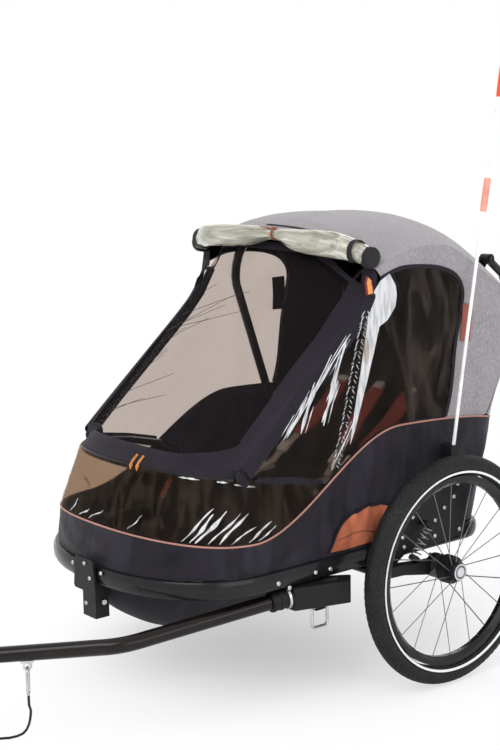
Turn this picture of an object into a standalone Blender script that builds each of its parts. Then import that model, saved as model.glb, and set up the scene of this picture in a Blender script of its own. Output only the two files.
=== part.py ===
"""Child bike trailer for two: a low oval-tube chassis on two sprung 20 inch wheels, a folding fabric cabin and
a side-mounted drawbar. Metres, +X is the way it travels, +Y its left side, +Z up.

Pieces are drawn with the wheel axle over x = 0 and the floor at z = 0. The last lines slide the whole trailer
along X until its box is centred on the origin.
"""
import math

import bmesh
import bpy
from mathutils import Matrix, Vector

for old in list(bpy.data.objects):
    bpy.data.objects.remove(old, do_unlink=True)

# Clearances
SEAT_GAP = 0.0003
SLIP = 0.0004
SIDES = (("left", 1), ("right", -1))

# The chassis hoop's width, which everything across the trailer follows
HOOP_HALF_WIDTH = 0.300
HOOP_TUBE_W = 0.0125

# Wheels, 20 inch
TYRE_RADIUS = 0.2275
TYRE_SECTION = 0.0226
RIM_INNER = 0.189
RIM_HALF_WIDTH = 0.0125
WHEEL_Y = HOOP_HALF_WIDTH + 0.092
SPOKES = 20
SPOKE_RADIUS = 0.0012
HUB_DRUM_RADIUS = 0.027
HUB_FLANGE_RADIUS = 0.0185
HUB_INNER_Y = HOOP_HALF_WIDTH + 0.0545
HUB_OUTER_Y = HUB_INNER_Y + 0.065
AXLE_RADIUS = 0.006
BUTTON_RADIUS = 0.011
BUTTON_FACE_Y = HUB_OUTER_Y + 0.001
LOCK_HOLES = 12
LOCK_HOLE_RADIUS = 0.0036
LOCK_PITCH_RADIUS = 0.0195
LOCK_PIN_RADIUS = 0.0028
LOCK_PIN_INNER_Y = HUB_INNER_Y - 0.0268
LOCK_PIN_TIP_Y = HUB_INNER_Y - 0.0015
LOCK_DEPTH = 0.0085
BUTTON_IN_Y = HUB_OUTER_Y - 0.002
BUTTON_FLOOR_Y = HUB_OUTER_Y - 0.0065
AXLE_END_Y = HUB_OUTER_Y - 0.0075
SPOKE_LEAN = math.radians(34)
WHEEL_SEGMENTS = 2 * SPOKES

# Chassis hoop: a tall oval tube round the whole trailer
HOOP_Z = 0.293
HOOP_TUBE_H = 0.020
HOOP_STRAIGHT_X = 0.418
HOOP_FRONT_X = 0.659
HOOP_REAR_X = -0.195
FRONT_POWER = 2.33
REAR_CORNER = 0.055

# Cloth
CLOTH = 0.0016
SKIRT_TOP_HALF_WIDTH = HOOP_HALF_WIDTH - 0.0055
SKIRT_FRONT_LEAN = 0.010
PIPING_RADIUS = 0.0025
PIPING_SIDE_Z = 0.558
PIPING_LOW_Z = 0.374
PIPING_NOSE_Z = 0.392
PIPING_HIGH_X = 0.06
PIPING_LOW_X = 0.47
REAR_LEAN = 0.29
SKIRT_REAR_TOP_Z = 0.530

# Footwell tub
TUB_FLOOR_Z = 0.170
TUB_RIM_FRONT_X = 0.633
TUB_RIM_HALF_WIDTH = HOOP_HALF_WIDTH - HOOP_TUBE_W - 0.016
TUB_LIP_Z = 0.298
TUB_FLOOR_FRONT_X = 0.555
TUB_FLOOR_REAR_X = 0.250
TUB_FLOOR_HALF_WIDTH = HOOP_HALF_WIDTH / 2
TUB_REAR_X = 0.195
TUB_CLOTH = 0.0022

# Front bar: the raised bow that carries the lower edge of the net cover
BAR_RADIUS = 0.009
BAR_HALF_WIDTH = HOOP_HALF_WIDTH - 0.023
BAR_FRONT_X = 0.592
BAR_STRAIGHT_X = 0.36
BAR_NOSE_Z = 0.518
BAR_SIDE_Z = 0.470
BAR_FOOT_X = 0.20

# Upper frame
FRONT_HOOP_Y = HOOP_HALF_WIDTH - 0.048
FRONT_HOOP_SHOULDER = (0.062, 0.820)
FRONT_HOOP_CROWN = (0.085, 0.968)
REAR_HOOP_Y = HOOP_HALF_WIDTH - 0.072
REAR_HOOP_SHOULDER = (-0.280, 0.765)
REAR_HOOP_CROWN = (-0.292, 0.862)
UPPER_TUBE = 0.0105
FRONT_PIVOT = (-0.100, 0.352)
REAR_PIVOT = (-0.150, 0.352)
PIVOT_PIN = 0.005
BRACKET_THICK = 0.005
PILLAR_PATH = ((0.470, 0.522), (0.418, 0.569), (0.305, 0.668), (0.195, 0.765), (0.155, 0.808), (0.122, 0.862))
PILLAR_FOOT = PILLAR_PATH[0]
PILLAR_HEAD = PILLAR_PATH[-1]
PILLAR_Y = HOOP_HALF_WIDTH - 0.0305
PILLAR_EYE = 0.0125

# Cabin cloth. The roof's stations run from the front hem over the top and down the back: the side edge's x and
# z, then the x and z on the centre line.
CABIN_HALF_WIDTH = HOOP_HALF_WIDTH - 0.0075
ROOF_STATIONS = (
    (0.128, 0.900, 0.182, 0.968),
    (0.060, 0.926, 0.125, 0.990),
    (-0.010, 0.938, 0.055, 0.999),
    (-0.075, 0.936, -0.030, 0.999),
    (-0.125, 0.918, -0.130, 0.993),
    (-0.190, 0.877, -0.235, 0.957),
    (-0.260, 0.833, -0.325, 0.890),
    (-0.308, 0.797, -0.372, 0.842),
    (-0.318, 0.765, -0.385, 0.798),
    (-0.296, 0.705, -0.358, 0.735),
    (-0.264, 0.630, -0.318, 0.645),
)
ROOF_ARCH = 2.4
ROOF_COLUMNS = 14
PANEL_OUTER_Y = CABIN_HALF_WIDTH - 0.0006
PANEL_THICK = 0.0010
PANEL_DROP = 0.0032
WINDOW_TOP = ((0.112, 0.880), (0.055, 0.896), (-0.010, 0.895), (-0.066, 0.887), (-0.112, 0.868), (-0.135, 0.833),
              (-0.128, 0.780), (-0.114, 0.720), (-0.100, 0.615))
WINDOW_REAR_X = -0.084
WINDOW_FRONT_X = 0.452
NET_THICK = 0.0010
ROLL_END_RADIUS = 0.0205
ROLL_WAIST_RADIUS = 0.0150
ROLL_HALF_LENGTH = HOOP_HALF_WIDTH - 0.012
PVC_THICK = 0.0010
LOWER_WINDOW_FROM_X = 0.270
SIDE_STEPS = 12

# Seat tubes, hinge cheeks and foot pedal
SEAT_TUBE_XS = (0.170, -0.030)
SEAT_TUBE_RADIUS = 0.010
SEAT_TUBE_END_Y = HOOP_HALF_WIDTH - 0.004
SEAT_TUBE_Z = HOOP_Z + HOOP_TUBE_H + SEAT_TUBE_RADIUS - 0.004
HINGE_CHEEK_Y = HOOP_HALF_WIDTH - 0.0355
EYE_RADIUS = 0.0145
HINGE_FOOT_Y = HOOP_HALF_WIDTH - 0.0035
HINGE_FOOT_DROP = 0.0010
PILLAR_THICK = 0.0045
PILLAR_WIDTH = 0.0100
PILLAR_CHEEK_Y = PILLAR_Y - PILLAR_THICK - SLIP
CHEEK_THICK = 0.016
PEDAL_PIVOT = (-0.196, 0.2615)
PEDAL_HALF_WIDTH = 0.030
PEDAL_LENGTH = 0.062
PEDAL_PIN = 0.0035

# Suspension
ARM_PIVOT_X = 0.150
AXLE_TUBE_RADIUS = 0.014
AXLE_TUBE_Z = HOOP_Z - HOOP_TUBE_H - AXLE_TUBE_RADIUS + 0.003
ARM_PIN_RADIUS = 0.008
ARM_EYE_RADIUS = 0.0150
ARM_HALF_HEIGHT = 0.0115
CARRIER_RADIUS = 0.0265
WHEEL_Z = TYRE_RADIUS + TYRE_SECTION
PLATE_INNER_Y = HOOP_HALF_WIDTH + HOOP_TUBE_W + SEAT_GAP
ARM_INNER_Y = HOOP_HALF_WIDTH + 0.0225
ARM_OUTER_Y = ARM_INNER_Y + 0.028
SPRING_Y = ARM_INNER_Y + 0.0145
SPRING_RADIUS = 0.0105
SPRING_WIRE = 0.0017
SPRING_TURNS = 6
SPRING_POINTS = 8
SPRING_TOP = (0.018, 0.3330)
SPRING_FOOT = (0.054, 0.2800)
PLATE_THICK = 0.004

# Drawbar
BAR_TUBE = 0.016
DRAWBAR_RECEIVER_POINT = Vector((0.381, HOOP_HALF_WIDTH - 0.003, 0.250))
DRAWBAR_IN_X = 0.270
DRAWBAR_BEND_ONE = Vector((0.740, HOOP_HALF_WIDTH - 0.0787, 0.2122))
DRAWBAR_BEND_TWO = Vector((0.9605, 0.0197, 0.1888))
DRAWBAR_END_X = 1.130
DRAWBAR_SLOPE = 0.105
DRAWBAR_BEND_RADIUS = 0.13

# Hitch
HITCH_PIVOT_X = 1.172
HITCH_HALF_WIDTH = 0.0125
HITCH_PIN_RADIUS = 0.004
HITCH_LEAN = math.radians(6)
FORK_HALF_GAP = 0.0075
FORK_WALL = 0.004
HITCH_LOCK_Z = 0.024
HITCH_LOCK_RADIUS = 0.0030

# Safety strap, its D-ring and its carabiner
RING_X = 0.877
RING_PLATE = 0.0035
RING_EYE = 0.0052
RING_DROP = 0.0105
HOOK_WIRE = 0.0024
HOOK_HALF_WIDTH = 0.0095
HOOK_LENGTH = 0.056
GATE_TIP = 0.0022
STRAP_RADIUS = 0.0026
STRAP_END_X = 1.100
FORK_NOSE = 0.015

# Push handle, folded down behind
HANDLE_HALF_WIDTH = REAR_HOOP_Y - 0.0275
HANDLE_TUBE = 0.0095
HANDLE_GRIP = 0.0150
HANDLE_GRIP_HALF = 0.120
HANDLE_PIVOT = (-0.318, 0.882)
HANDLE_KNEE = (-0.370, 0.842)
HANDLE_BACK = (-0.392, 0.780)
HANDLE_BAR = (-0.348, 0.622)
HANDLE_EYE = 0.0125
LUG_INNER_Y = HANDLE_HALF_WIDTH - 0.0165
LUG_THICK = 0.005

# Flag
FLAG_FOOT = Vector((-0.079, HOOP_HALF_WIDTH + 0.0185, 0.478))
FLAG_POLE_RADIUS = 0.004
FLAG_POLE_HEIGHT = 0.98
FLAG_LEAN = 0.160
FLAG_BOW = 0.022
FLAG_LOW = 0.770
FLAG_HIGH = 0.965
FLAG_LENGTH = 0.240
FLAG_SLEEVE = 0.0075
FERRULE_LOW = 0.525
FERRULE_HIGH = 0.597
FERRULE_RADIUS = 0.0062
FLAG_BORE_DEPTH = 0.034

# Seats
SEAT_Y = HOOP_HALF_WIDTH - 0.1885
SEAT_WIDTH = 2 * (SEAT_Y - 0.0165)
SEAT_REAR_X = -0.098
SEAT_LENGTH = 0.262
SEAT_THICK = 0.050
BACK_START = 0.050
BACK_LENGTH = 0.375
BACK_THICK = 0.032
SLING_HALF_WIDTH = REAR_HOOP_Y - UPPER_TUBE - SEAT_GAP
STRAP_SPREAD = 0.042
BUCKLE_X = 0.010
BUCKLE_Z = 0.418

# Drawbar receiver, release loop and front socket
RECEIVER_REAR_X = 0.232
RECEIVER_FRONT_X = 0.382
COLLAR_FRONT_X = 0.423
RECEIVER_TOP_Z = HOOP_Z - HOOP_TUBE_H - SEAT_GAP
RECEIVER_LOW_Z = 0.2255
RECEIVER_CLEARANCE = 0.0004
LOOP_X = (0.281, 0.323)
LOOP_PIVOT = (0.3045, 0.2135)
LOOP_LOW_Z = 0.171
LOOP_WIRE = 0.0032
SOCKET_X = 0.649
SOCKET_BORE = 0.0120
SOCKET_HALF_WIDTH = 0.0235
SOCKET_PLATE_HALF = 0.040
SOCKET_LOW_Z = 0.198
SOCKET_BUTTON_Z = 0.232

# Materials: colour, roughness, metallic
LOOKS = {
    "frame_black": ((0.02, 0.02, 0.022), 0.28, 0.6),
    "plastic_black": ((0.025, 0.025, 0.028), 0.5, 0.0),
    "steel": ((0.62, 0.63, 0.65), 0.3, 1.0),
    "tyre_rubber": ((0.03, 0.03, 0.032), 0.85, 0.0),
    "skirt_cloth": ((0.045, 0.04, 0.055), 0.9, 0.0),
    "grey_cloth": ((0.42, 0.40, 0.42), 0.92, 0.0),
    "lining_cloth": ((0.03, 0.028, 0.032), 0.92, 0.0),
    "coral_cloth": ((0.72, 0.20, 0.13), 0.85, 0.0),
    "piping": ((0.80, 0.45, 0.40), 0.8, 0.0),
    "net": ((0.62, 0.56, 0.50), 0.9, 0.0),
    "clear_pvc": ((0.35, 0.30, 0.27), 0.12, 0.0),
    "seat_cloth": ((0.06, 0.055, 0.06), 0.9, 0.0),
    "pad_red": ((0.45, 0.08, 0.06), 0.85, 0.0),
    "webbing": ((0.28, 0.27, 0.26), 0.85, 0.0),
    "white_rod": ((0.85, 0.85, 0.86), 0.4, 0.0),
    "foam_black": ((0.02, 0.02, 0.02), 0.95, 0.0),
    "elastomer": ((0.03, 0.03, 0.03), 0.75, 0.0),
}
MATERIALS = {}
for look, (colour, roughness, metallic) in LOOKS.items():
    made = bpy.data.materials.new(look)
    made.use_nodes = True
    shader = made.node_tree.nodes["Principled BSDF"]
    shader.inputs["Base Color"].default_value = (*colour, 1.0)
    shader.inputs["Roughness"].default_value = roughness
    shader.inputs["Metallic"].default_value = metallic
    MATERIALS[look] = made

# Bodies: each moving group hangs on an empty that stands on its joint's axis
TRAILER = bpy.data.objects.new("trailer_frame", None)
bpy.context.collection.objects.link(TRAILER)
EMPTIES = {}


def body(name, pivot):
    """An empty on the joint's axis, at a point given in the trailer's drawing coordinates."""
    empty = bpy.data.objects.new(f"{name}_axis", None)
    bpy.context.collection.objects.link(empty)
    empty.parent = TRAILER
    empty.location = pivot
    EMPTIES[name] = empty
    return name


body("chassis", (0, 0, 0))


def add(name, bm, look, on="chassis", smooth=40):
    """Turns a bmesh in drawing coordinates into a named object on one body."""
    bmesh.ops.remove_doubles(bm, verts=bm.verts, dist=1e-6)
    bmesh.ops.recalc_face_normals(bm, faces=bm.faces)
    mesh = bpy.data.meshes.new(name)
    bm.to_mesh(mesh)
    bm.free()
    empty = EMPTIES[on]
    mesh.transform(Matrix.Translation(-Vector(empty.location)))
    mesh.materials.append(MATERIALS[look])
    mesh.shade_smooth()
    mesh.set_sharp_from_angle(angle=math.radians(smooth))
    obj = bpy.data.objects.new(name, mesh)
    bpy.context.collection.objects.link(obj)
    obj.parent = empty
    return obj


def combine(obj, bm, operation="DIFFERENCE"):
    """Cuts or joins a tool shape with an exact Boolean; the tool itself is left out of the part."""
    bmesh.ops.remove_doubles(bm, verts=bm.verts, dist=1e-6)
    bmesh.ops.recalc_face_normals(bm, faces=bm.faces)
    mesh = bpy.data.meshes.new(f"{obj.name}_tool")
    bm.to_mesh(mesh)
    bm.free()
    mesh.transform(Matrix.Translation(-Vector(obj.parent.location)))
    tool = bpy.data.objects.new(f"{obj.name}_tool", mesh)
    bpy.context.collection.objects.link(tool)
    tool.parent = obj.parent
    tool.hide_render = True
    tool.display_type = "WIRE"
    modifier = obj.modifiers.new("shape", "BOOLEAN")
    modifier.operation = operation
    modifier.solver = "EXACT"
    modifier.object = tool


def circle(radius, count, start=0.0):
    return [(radius * math.cos(start + 2 * math.pi * k / count), radius * math.sin(start + 2 * math.pi * k / count))
            for k in range(count)]


def oval(half_width, half_height, count, power=2.4):
    points = []
    for k in range(count):
        angle = 2 * math.pi * k / count
        c, s = math.cos(angle), math.sin(angle)
        points.append((half_width * math.copysign(abs(c) ** (2 / power), c),
                       half_height * math.copysign(abs(s) ** (2 / power), s)))
    return points


def skin(bm, rings, loop=False, caps=True):
    """Joins rings of equal count with quads; a path that doesn't close gets a cap at each end."""
    made = [[bm.verts.new(p) for p in ring] for ring in rings]
    count = len(rings[0])
    last = len(made) if loop else len(made) - 1
    for i in range(last):
        a, b = made[i], made[(i + 1) % len(made)]
        for j in range(count):
            bm.faces.new((a[j], a[(j + 1) % count], b[(j + 1) % count], b[j]))
    if caps and not loop:
        bm.faces.new(list(reversed(made[0])))
        bm.faces.new(made[-1])
    return made


def tangents(points, loop):
    out = []
    n = len(points)
    for i in range(n):
        before = points[(i - 1) % n] if loop or i > 0 else points[i]
        after = points[(i + 1) % n] if loop or i < n - 1 else points[i]
        out.append((after - before).normalized())
    return out


def sweep(bm, points, section, up=None, loop=False):
    """Skins a section along a path. With up given, the section's second axis stays with it."""
    points = [Vector(p) for p in points]
    along = tangents(points, loop)
    side = None
    rings = []
    for point, tangent in zip(points, along):
        if up is not None:
            side = tangent.cross(Vector(up)).normalized()
        elif side is None:
            helper = Vector((0, 0, 1)) if abs(tangent.z) < 0.9 else Vector((1, 0, 0))
            side = tangent.cross(helper).normalized()
        else:
            side = (side - tangent * side.dot(tangent)).normalized()
        other = side.cross(tangent)
        rings.append([point + side * a + other * b for a, b in section])
    return skin(bm, rings, loop=loop)


def turned(bm, profile, centre, axis="Y", segments=WHEEL_SEGMENTS, sign=1):
    """Revolves a closed profile of (distance along the axis, radius) round an axis through centre."""
    rings = []
    for k in range(segments):
        angle = 2 * math.pi * k / segments - math.pi / 2
        c, s = math.cos(angle), math.sin(angle)
        ring = []
        for along, radius in profile:
            along *= sign
            if axis == "Y":
                offset = Vector((radius * c, along, radius * s))
            elif axis == "Z":
                offset = Vector((radius * c, radius * s, along))
            else:
                offset = Vector((along, radius * c, radius * s))
            ring.append(Vector(centre) + offset)
        rings.append(ring)
    skin(bm, rings, loop=True)
    bmesh.ops.remove_doubles(bm, verts=bm.verts, dist=1e-6)


def rod(bm, start, end, radius, sides=10):
    """A plain round bar between two points."""
    sweep(bm, [start, end], circle(radius, sides))


def plate(bm, outline, low, high, plane="XZ"):
    """Extrudes an outline of pairs between two depths, across the plane that it is drawn in."""
    def place(a, b, depth):
        if plane == "XZ":
            return Vector((a, depth, b))
        if plane == "YZ":
            return Vector((depth, a, b))
        return Vector((a, b, depth))
    skin(bm, [[place(a, b, low) for a, b in outline], [place(a, b, high) for a, b in outline]])


def rounded(corners, radius, steps=4):
    """Fillets every corner of an outline with an arc of the given radius."""
    out = []
    n = len(corners)
    for i in range(n):
        here = Vector(corners[i])
        back = (Vector(corners[i - 1]) - here)
        ahead = (Vector(corners[(i + 1) % n]) - here)
        turn = back.angle(ahead)
        reach = min(radius / math.tan(turn / 2), back.length * 0.45, ahead.length * 0.45)
        start = here + back.normalized() * reach
        end = here + ahead.normalized() * reach
        for k in range(steps + 1):
            t = k / steps
            out.append(tuple(start * (1 - t) ** 2 + here * (2 * t * (1 - t)) + end * t ** 2))
    return out


def block(bm, low, high, radius=0.003, plane="XZ"):
    """A box with four rounded edges, which run across the named plane."""
    x0, y0, z0 = low
    x1, y1, z1 = high
    if plane == "XZ":
        plate(bm, rounded([(x0, z0), (x1, z0), (x1, z1), (x0, z1)], radius, 3), y0, y1, "XZ")
    elif plane == "YZ":
        plate(bm, rounded([(y0, z0), (y1, z0), (y1, z1), (y0, z1)], radius, 3), x0, x1, "YZ")
    else:
        plate(bm, rounded([(x0, y0), (x1, y0), (x1, y1), (x0, y1)], radius, 3), z0, z1, "XY")


def cloth(name, grid, look, on="chassis", thick=CLOTH, loop=False, heart=(0, 0, 0.6)):
    """A sheet through a grid of points, given its thickness towards the inside of the cabin."""
    bm = bmesh.new()
    rows = [[bm.verts.new(p) for p in row] for row in grid]
    last = len(rows) if loop else len(rows) - 1
    for i in range(last):
        a, b = rows[i], rows[(i + 1) % len(rows)]
        for j in range(len(a) - 1):
            bm.faces.new((a[j], a[j + 1], b[j + 1], b[j]))
    bmesh.ops.recalc_face_normals(bm, faces=bm.faces)
    bm.normal_update()
    centre = Vector(heart)
    outward = sum(f.normal.dot(f.calc_center_median() - centre) * f.calc_area() for f in bm.faces)
    if outward < 0:
        bmesh.ops.reverse_faces(bm, faces=bm.faces)
    bm.normal_update()
    inner = {v: bm.verts.new(v.co - v.normal * thick) for v in list(bm.verts)}
    edges = [e for e in bm.edges if e.is_boundary]
    faces = list(bm.faces)
    for edge in edges:
        a, b = edge.verts
        bm.faces.new((a, b, inner[b], inner[a]))
    for face in faces:
        bm.faces.new([inner[v] for v in reversed(face.verts)])
    return add(name, bm, look, on)


def arc_path(corners, radius, steps=6):
    """A path through corner points whose inner corners are bent to an arc."""
    points = [Vector(c) for c in corners]
    out = [points[0]]
    for i in range(1, len(points) - 1):
        here = points[i]
        back = (points[i - 1] - here).normalized()
        ahead = (points[i + 1] - here).normalized()
        half = back.angle(ahead) / 2
        reach = radius / math.tan(half)
        centre = here + (back + ahead).normalized() * (radius / math.sin(half))
        start = here + back * reach
        end = here + ahead * reach
        for k in range(steps + 1):
            t = k / steps
            chord = start.lerp(end, t)
            out.append(centre + (chord - centre).normalized() * radius)
    out.append(points[-1])
    return out


def smooth_step(t):
    t = min(1.0, max(0.0, t))
    return t * t * (3 - 2 * t)


def half_plan(half_width, front_x, straight_x, rear_x, corner=REAR_CORNER, front_steps=11, side_steps=8):
    """The left half of the trailer's outline seen from above, from the rear centre to the nose."""
    points = [(rear_x, 0.0)]
    points.append((rear_x, (half_width - corner) * 0.5))
    for k in range(5):
        angle = math.pi / 2 * k / 4
        points.append((rear_x + corner - corner * math.cos(angle), half_width - corner + corner * math.sin(angle)))
    start_x = rear_x + corner
    for k in range(1, side_steps + 1):
        points.append((start_x + (straight_x - start_x) * k / side_steps, half_width))
    depth = front_x - straight_x
    for k in range(1, front_steps + 1):
        angle = math.pi / 2 * k / front_steps
        points.append((straight_x + depth * math.sin(angle) ** (2 / FRONT_POWER),
                       half_width * max(0.0, math.cos(angle)) ** (2 / FRONT_POWER)))
    return points


def whole_plan(*sizes, **counts):
    left = half_plan(*sizes, **counts)
    right = [(x, -y) for x, y in reversed(left[1:-1])]
    return left + right


# Heights of the cloth edges
def piping_height(x, y):
    """Height of the skirt's upper edge: high beside the seats, low round the nose, level again behind."""
    if x > PIPING_LOW_X:
        nose = (x - PIPING_LOW_X) / (HOOP_FRONT_X - PIPING_LOW_X)
        return PIPING_LOW_Z + (PIPING_NOSE_Z - PIPING_LOW_Z) * nose ** 2
    rise = smooth_step((PIPING_LOW_X - x) / (PIPING_LOW_X - PIPING_HIGH_X))
    high = PIPING_SIDE_Z
    if x < PIPING_HIGH_X:
        back = (PIPING_HIGH_X - x) / (PIPING_HIGH_X - HOOP_REAR_X)
        high = PIPING_SIDE_Z + (SKIRT_REAR_TOP_Z - PIPING_SIDE_Z) * min(1.0, back) ** 2
    return PIPING_LOW_Z + (high - PIPING_LOW_Z) * rise


SKIRT_BOTTOM_Z = HOOP_Z + HOOP_TUBE_H + SEAT_GAP


def skirt_point(x, y, t):
    """A point on the skirt's outer face over the plan point (x, y), t from its lower to its upper edge."""
    z = SKIRT_BOTTOM_Z + (piping_height(x, y) - SKIRT_BOTTOM_Z) * t
    narrow = SKIRT_TOP_HALF_WIDTH / HOOP_HALF_WIDTH
    rise = (z - SKIRT_BOTTOM_Z) / (PIPING_SIDE_Z - SKIRT_BOTTOM_Z)
    y_out = y * (1 + (narrow - 1) * rise)
    front = smooth_step((x - HOOP_STRAIGHT_X) / (HOOP_FRONT_X - HOOP_STRAIGHT_X))
    rear = smooth_step((0.05 - x) / 0.20)
    x_out = x - front * SKIRT_FRONT_LEAN * 3 * rise - rear * REAR_LEAN * (z - SKIRT_BOTTOM_Z)
    return Vector((x_out, y_out, z))


def build_skirt():
    plan = whole_plan(HOOP_HALF_WIDTH + SEAT_GAP, HOOP_FRONT_X, HOOP_STRAIGHT_X, HOOP_REAR_X, side_steps=SIDE_STEPS)
    grid = [[skirt_point(x, y, t / 2) for t in range(3)] for x, y in plan]
    cloth("skirt", grid, "skirt_cloth", loop=True, heart=(0.2, 0, 0.4))
    bm = bmesh.new()
    drop = Vector((0, 0, PIPING_RADIUS + SEAT_GAP))
    path = [skirt_point(x, y, 1.0) + drop for x, y in plan]
    sweep(bm, path, circle(PIPING_RADIUS, 6), up=(0, 0, 1), loop=True)
    add("skirt_piping", bm, "piping")


def build_tub():
    """The foot tub: a cloth basin under the front of the hoop, open at its top."""
    rim_z = HOOP_Z - HOOP_TUBE_H - SEAT_GAP
    depth = rim_z - TUB_FLOOR_Z
    inset = HOOP_TUBE_W + 2 * SEAT_GAP
    lip = whole_plan(HOOP_HALF_WIDTH - inset, HOOP_FRONT_X - inset, HOOP_STRAIGHT_X, TUB_REAR_X, 0.03,
                     side_steps=3, front_steps=9)
    rings = [[Vector((x, y, TUB_LIP_Z)) for x, y in lip]]
    for t in (0.0, 0.35, 0.7, 0.92, 1.0):
        z = rim_z - depth * t
        ease = 0.30 * t + 0.70 * t ** 3
        draw_in = t ** 0.7
        half_width = TUB_RIM_HALF_WIDTH + (TUB_FLOOR_HALF_WIDTH - TUB_RIM_HALF_WIDTH) * draw_in
        front = TUB_RIM_FRONT_X + (TUB_FLOOR_FRONT_X - TUB_RIM_FRONT_X) * ease
        rear = TUB_REAR_X + (TUB_FLOOR_REAR_X - TUB_REAR_X) * ease
        straight = rear + 0.55 * (front - rear)
        plan = whole_plan(half_width, front, straight, rear, 0.03, side_steps=3, front_steps=9)
        rings.append([Vector((x, y, z)) for x, y in plan])
    middle = Vector(((TUB_RIM_FRONT_X + TUB_REAR_X) / 2, 0, 0))
    bm = bmesh.new()
    outer = skin(bm, rings, caps=False)
    inner_rings = []
    for index, ring in enumerate(rings):
        lift = TUB_CLOTH if index == len(rings) - 1 else 0.0
        row = []
        for p in ring:
            inward = Vector((p.x - middle.x, p.y, 0)).normalized() * TUB_CLOTH * 1.3
            row.append(Vector((p.x - inward.x, p.y - inward.y, p.z + lift)))
        inner_rings.append(row)
    inner = skin(bm, inner_rings, caps=False)
    count = len(rings[0])
    for j in range(count):
        k = (j + 1) % count
        bm.faces.new((outer[0][j], inner[0][j], inner[0][k], outer[0][k]))
    bm.faces.new(outer[-1])
    bm.faces.new(list(reversed(inner[-1])))
    add("footwell_tub", bm, "skirt_cloth")


def front_bar_path(grow=0.0, lift=0.0):
    """Centre line of the raised front bow, from its left foot round the nose to its right foot."""
    left = []
    half_width = BAR_HALF_WIDTH + grow
    foot_z = HOOP_Z + HOOP_TUBE_H + SEAT_GAP + 0.012
    left.append(Vector((BAR_FOOT_X, half_width, foot_z)))
    left.append(Vector((BAR_FOOT_X + 0.005, half_width, foot_z + 0.07)))
    left.append(Vector((BAR_FOOT_X + 0.035, half_width, BAR_SIDE_Z - 0.03)))
    left.append(Vector((BAR_FOOT_X + 0.085, half_width, BAR_SIDE_Z - 0.006)))
    left.append(Vector((BAR_STRAIGHT_X, half_width, BAR_SIDE_Z + 0.012)))
    depth = BAR_FRONT_X + grow - BAR_STRAIGHT_X
    steps = 11
    for k in range(1, steps + 1):
        angle = math.pi / 2 * k / steps
        s = math.sin(angle) ** (2 / FRONT_POWER)
        z = BAR_SIDE_Z + 0.012 + (BAR_NOSE_Z - BAR_SIDE_Z - 0.012) * s + lift
        left.append(Vector((BAR_STRAIGHT_X + depth * s, half_width * max(0.0, math.cos(angle)) ** (2 / FRONT_POWER), z)))
    right = [Vector((p.x, -p.y, p.z)) for p in reversed(left[:-1])]
    return left + right


def build_front_bar():
    """The raised bow round the nose, with a flat cheek at each side that carries a front pillar."""
    bm = bmesh.new()
    sweep(bm, front_bar_path(), circle(BAR_RADIUS, 8), up=(0, 0, 1))
    bar = add("front_bar", bm, "frame_black")
    x, z = PILLAR_FOOT
    for s in (1, -1):
        bm = bmesh.new()
        cheek = rounded([(x - 0.016, z - 0.0175), (x + 0.016, z - 0.0175), (x + 0.012, z + 0.012),
                         (x - 0.012, z + 0.012)], 0.008)
        plate(bm, cheek, s * (PILLAR_CHEEK_Y - CHEEK_THICK), s * PILLAR_CHEEK_Y, "XZ")
        combine(bar, bm, "UNION")
        bm = bmesh.new()
        pin_end = PILLAR_Y + PILLAR_THICK + SLIP
        rod(bm, (x, s * (PILLAR_CHEEK_Y - 0.004), z), (x, s * pin_end, z), PIVOT_PIN)
        combine(bar, bm, "UNION")


def build_chassis_frame():
    """The hoop with its welded cross tubes: two under the seats and the low one between the arms."""
    bm = bmesh.new()
    path = [Vector((x, y, HOOP_Z)) for x, y in
            whole_plan(HOOP_HALF_WIDTH, HOOP_FRONT_X, HOOP_STRAIGHT_X, HOOP_REAR_X, side_steps=1)]
    sweep(bm, path, oval(HOOP_TUBE_W, HOOP_TUBE_H, 12), up=(0, 0, 1), loop=True)
    frame = add("chassis_frame", bm, "frame_black")
    for x in SEAT_TUBE_XS:
        bm = bmesh.new()
        rod(bm, (x, -SEAT_TUBE_END_Y, SEAT_TUBE_Z), (x, SEAT_TUBE_END_Y, SEAT_TUBE_Z), SEAT_TUBE_RADIUS)
        combine(frame, bm, "UNION")
    bm = bmesh.new()
    end_y = HOOP_HALF_WIDTH + HOOP_TUBE_W * 0.7
    rod(bm, (ARM_PIVOT_X, -end_y, AXLE_TUBE_Z), (ARM_PIVOT_X, end_y, AXLE_TUBE_Z), AXLE_TUBE_RADIUS, 14)
    combine(frame, bm, "UNION")
    for s in (1, -1):
        bm = bmesh.new()
        top = PEDAL_PIVOT[1] + 0.030
        ear = rounded([(PEDAL_PIVOT[0] - 0.009, PEDAL_PIVOT[1] - 0.009), (PEDAL_PIVOT[0] + 0.009, PEDAL_PIVOT[1] - 0.009),
                       (PEDAL_PIVOT[0] + 0.009, top), (PEDAL_PIVOT[0] - 0.009, top)], 0.006)
        plate(bm, ear, s * (PEDAL_HALF_WIDTH + SLIP), s * (PEDAL_HALF_WIDTH + SLIP + 0.004), "XZ")
        combine(frame, bm, "UNION")
    bm = bmesh.new()
    reach = PEDAL_HALF_WIDTH + SLIP + 0.003
    rod(bm, (PEDAL_PIVOT[0], -reach, PEDAL_PIVOT[1]), (PEDAL_PIVOT[0], reach, PEDAL_PIVOT[1]), PEDAL_PIN)
    combine(frame, bm, "UNION")


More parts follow.
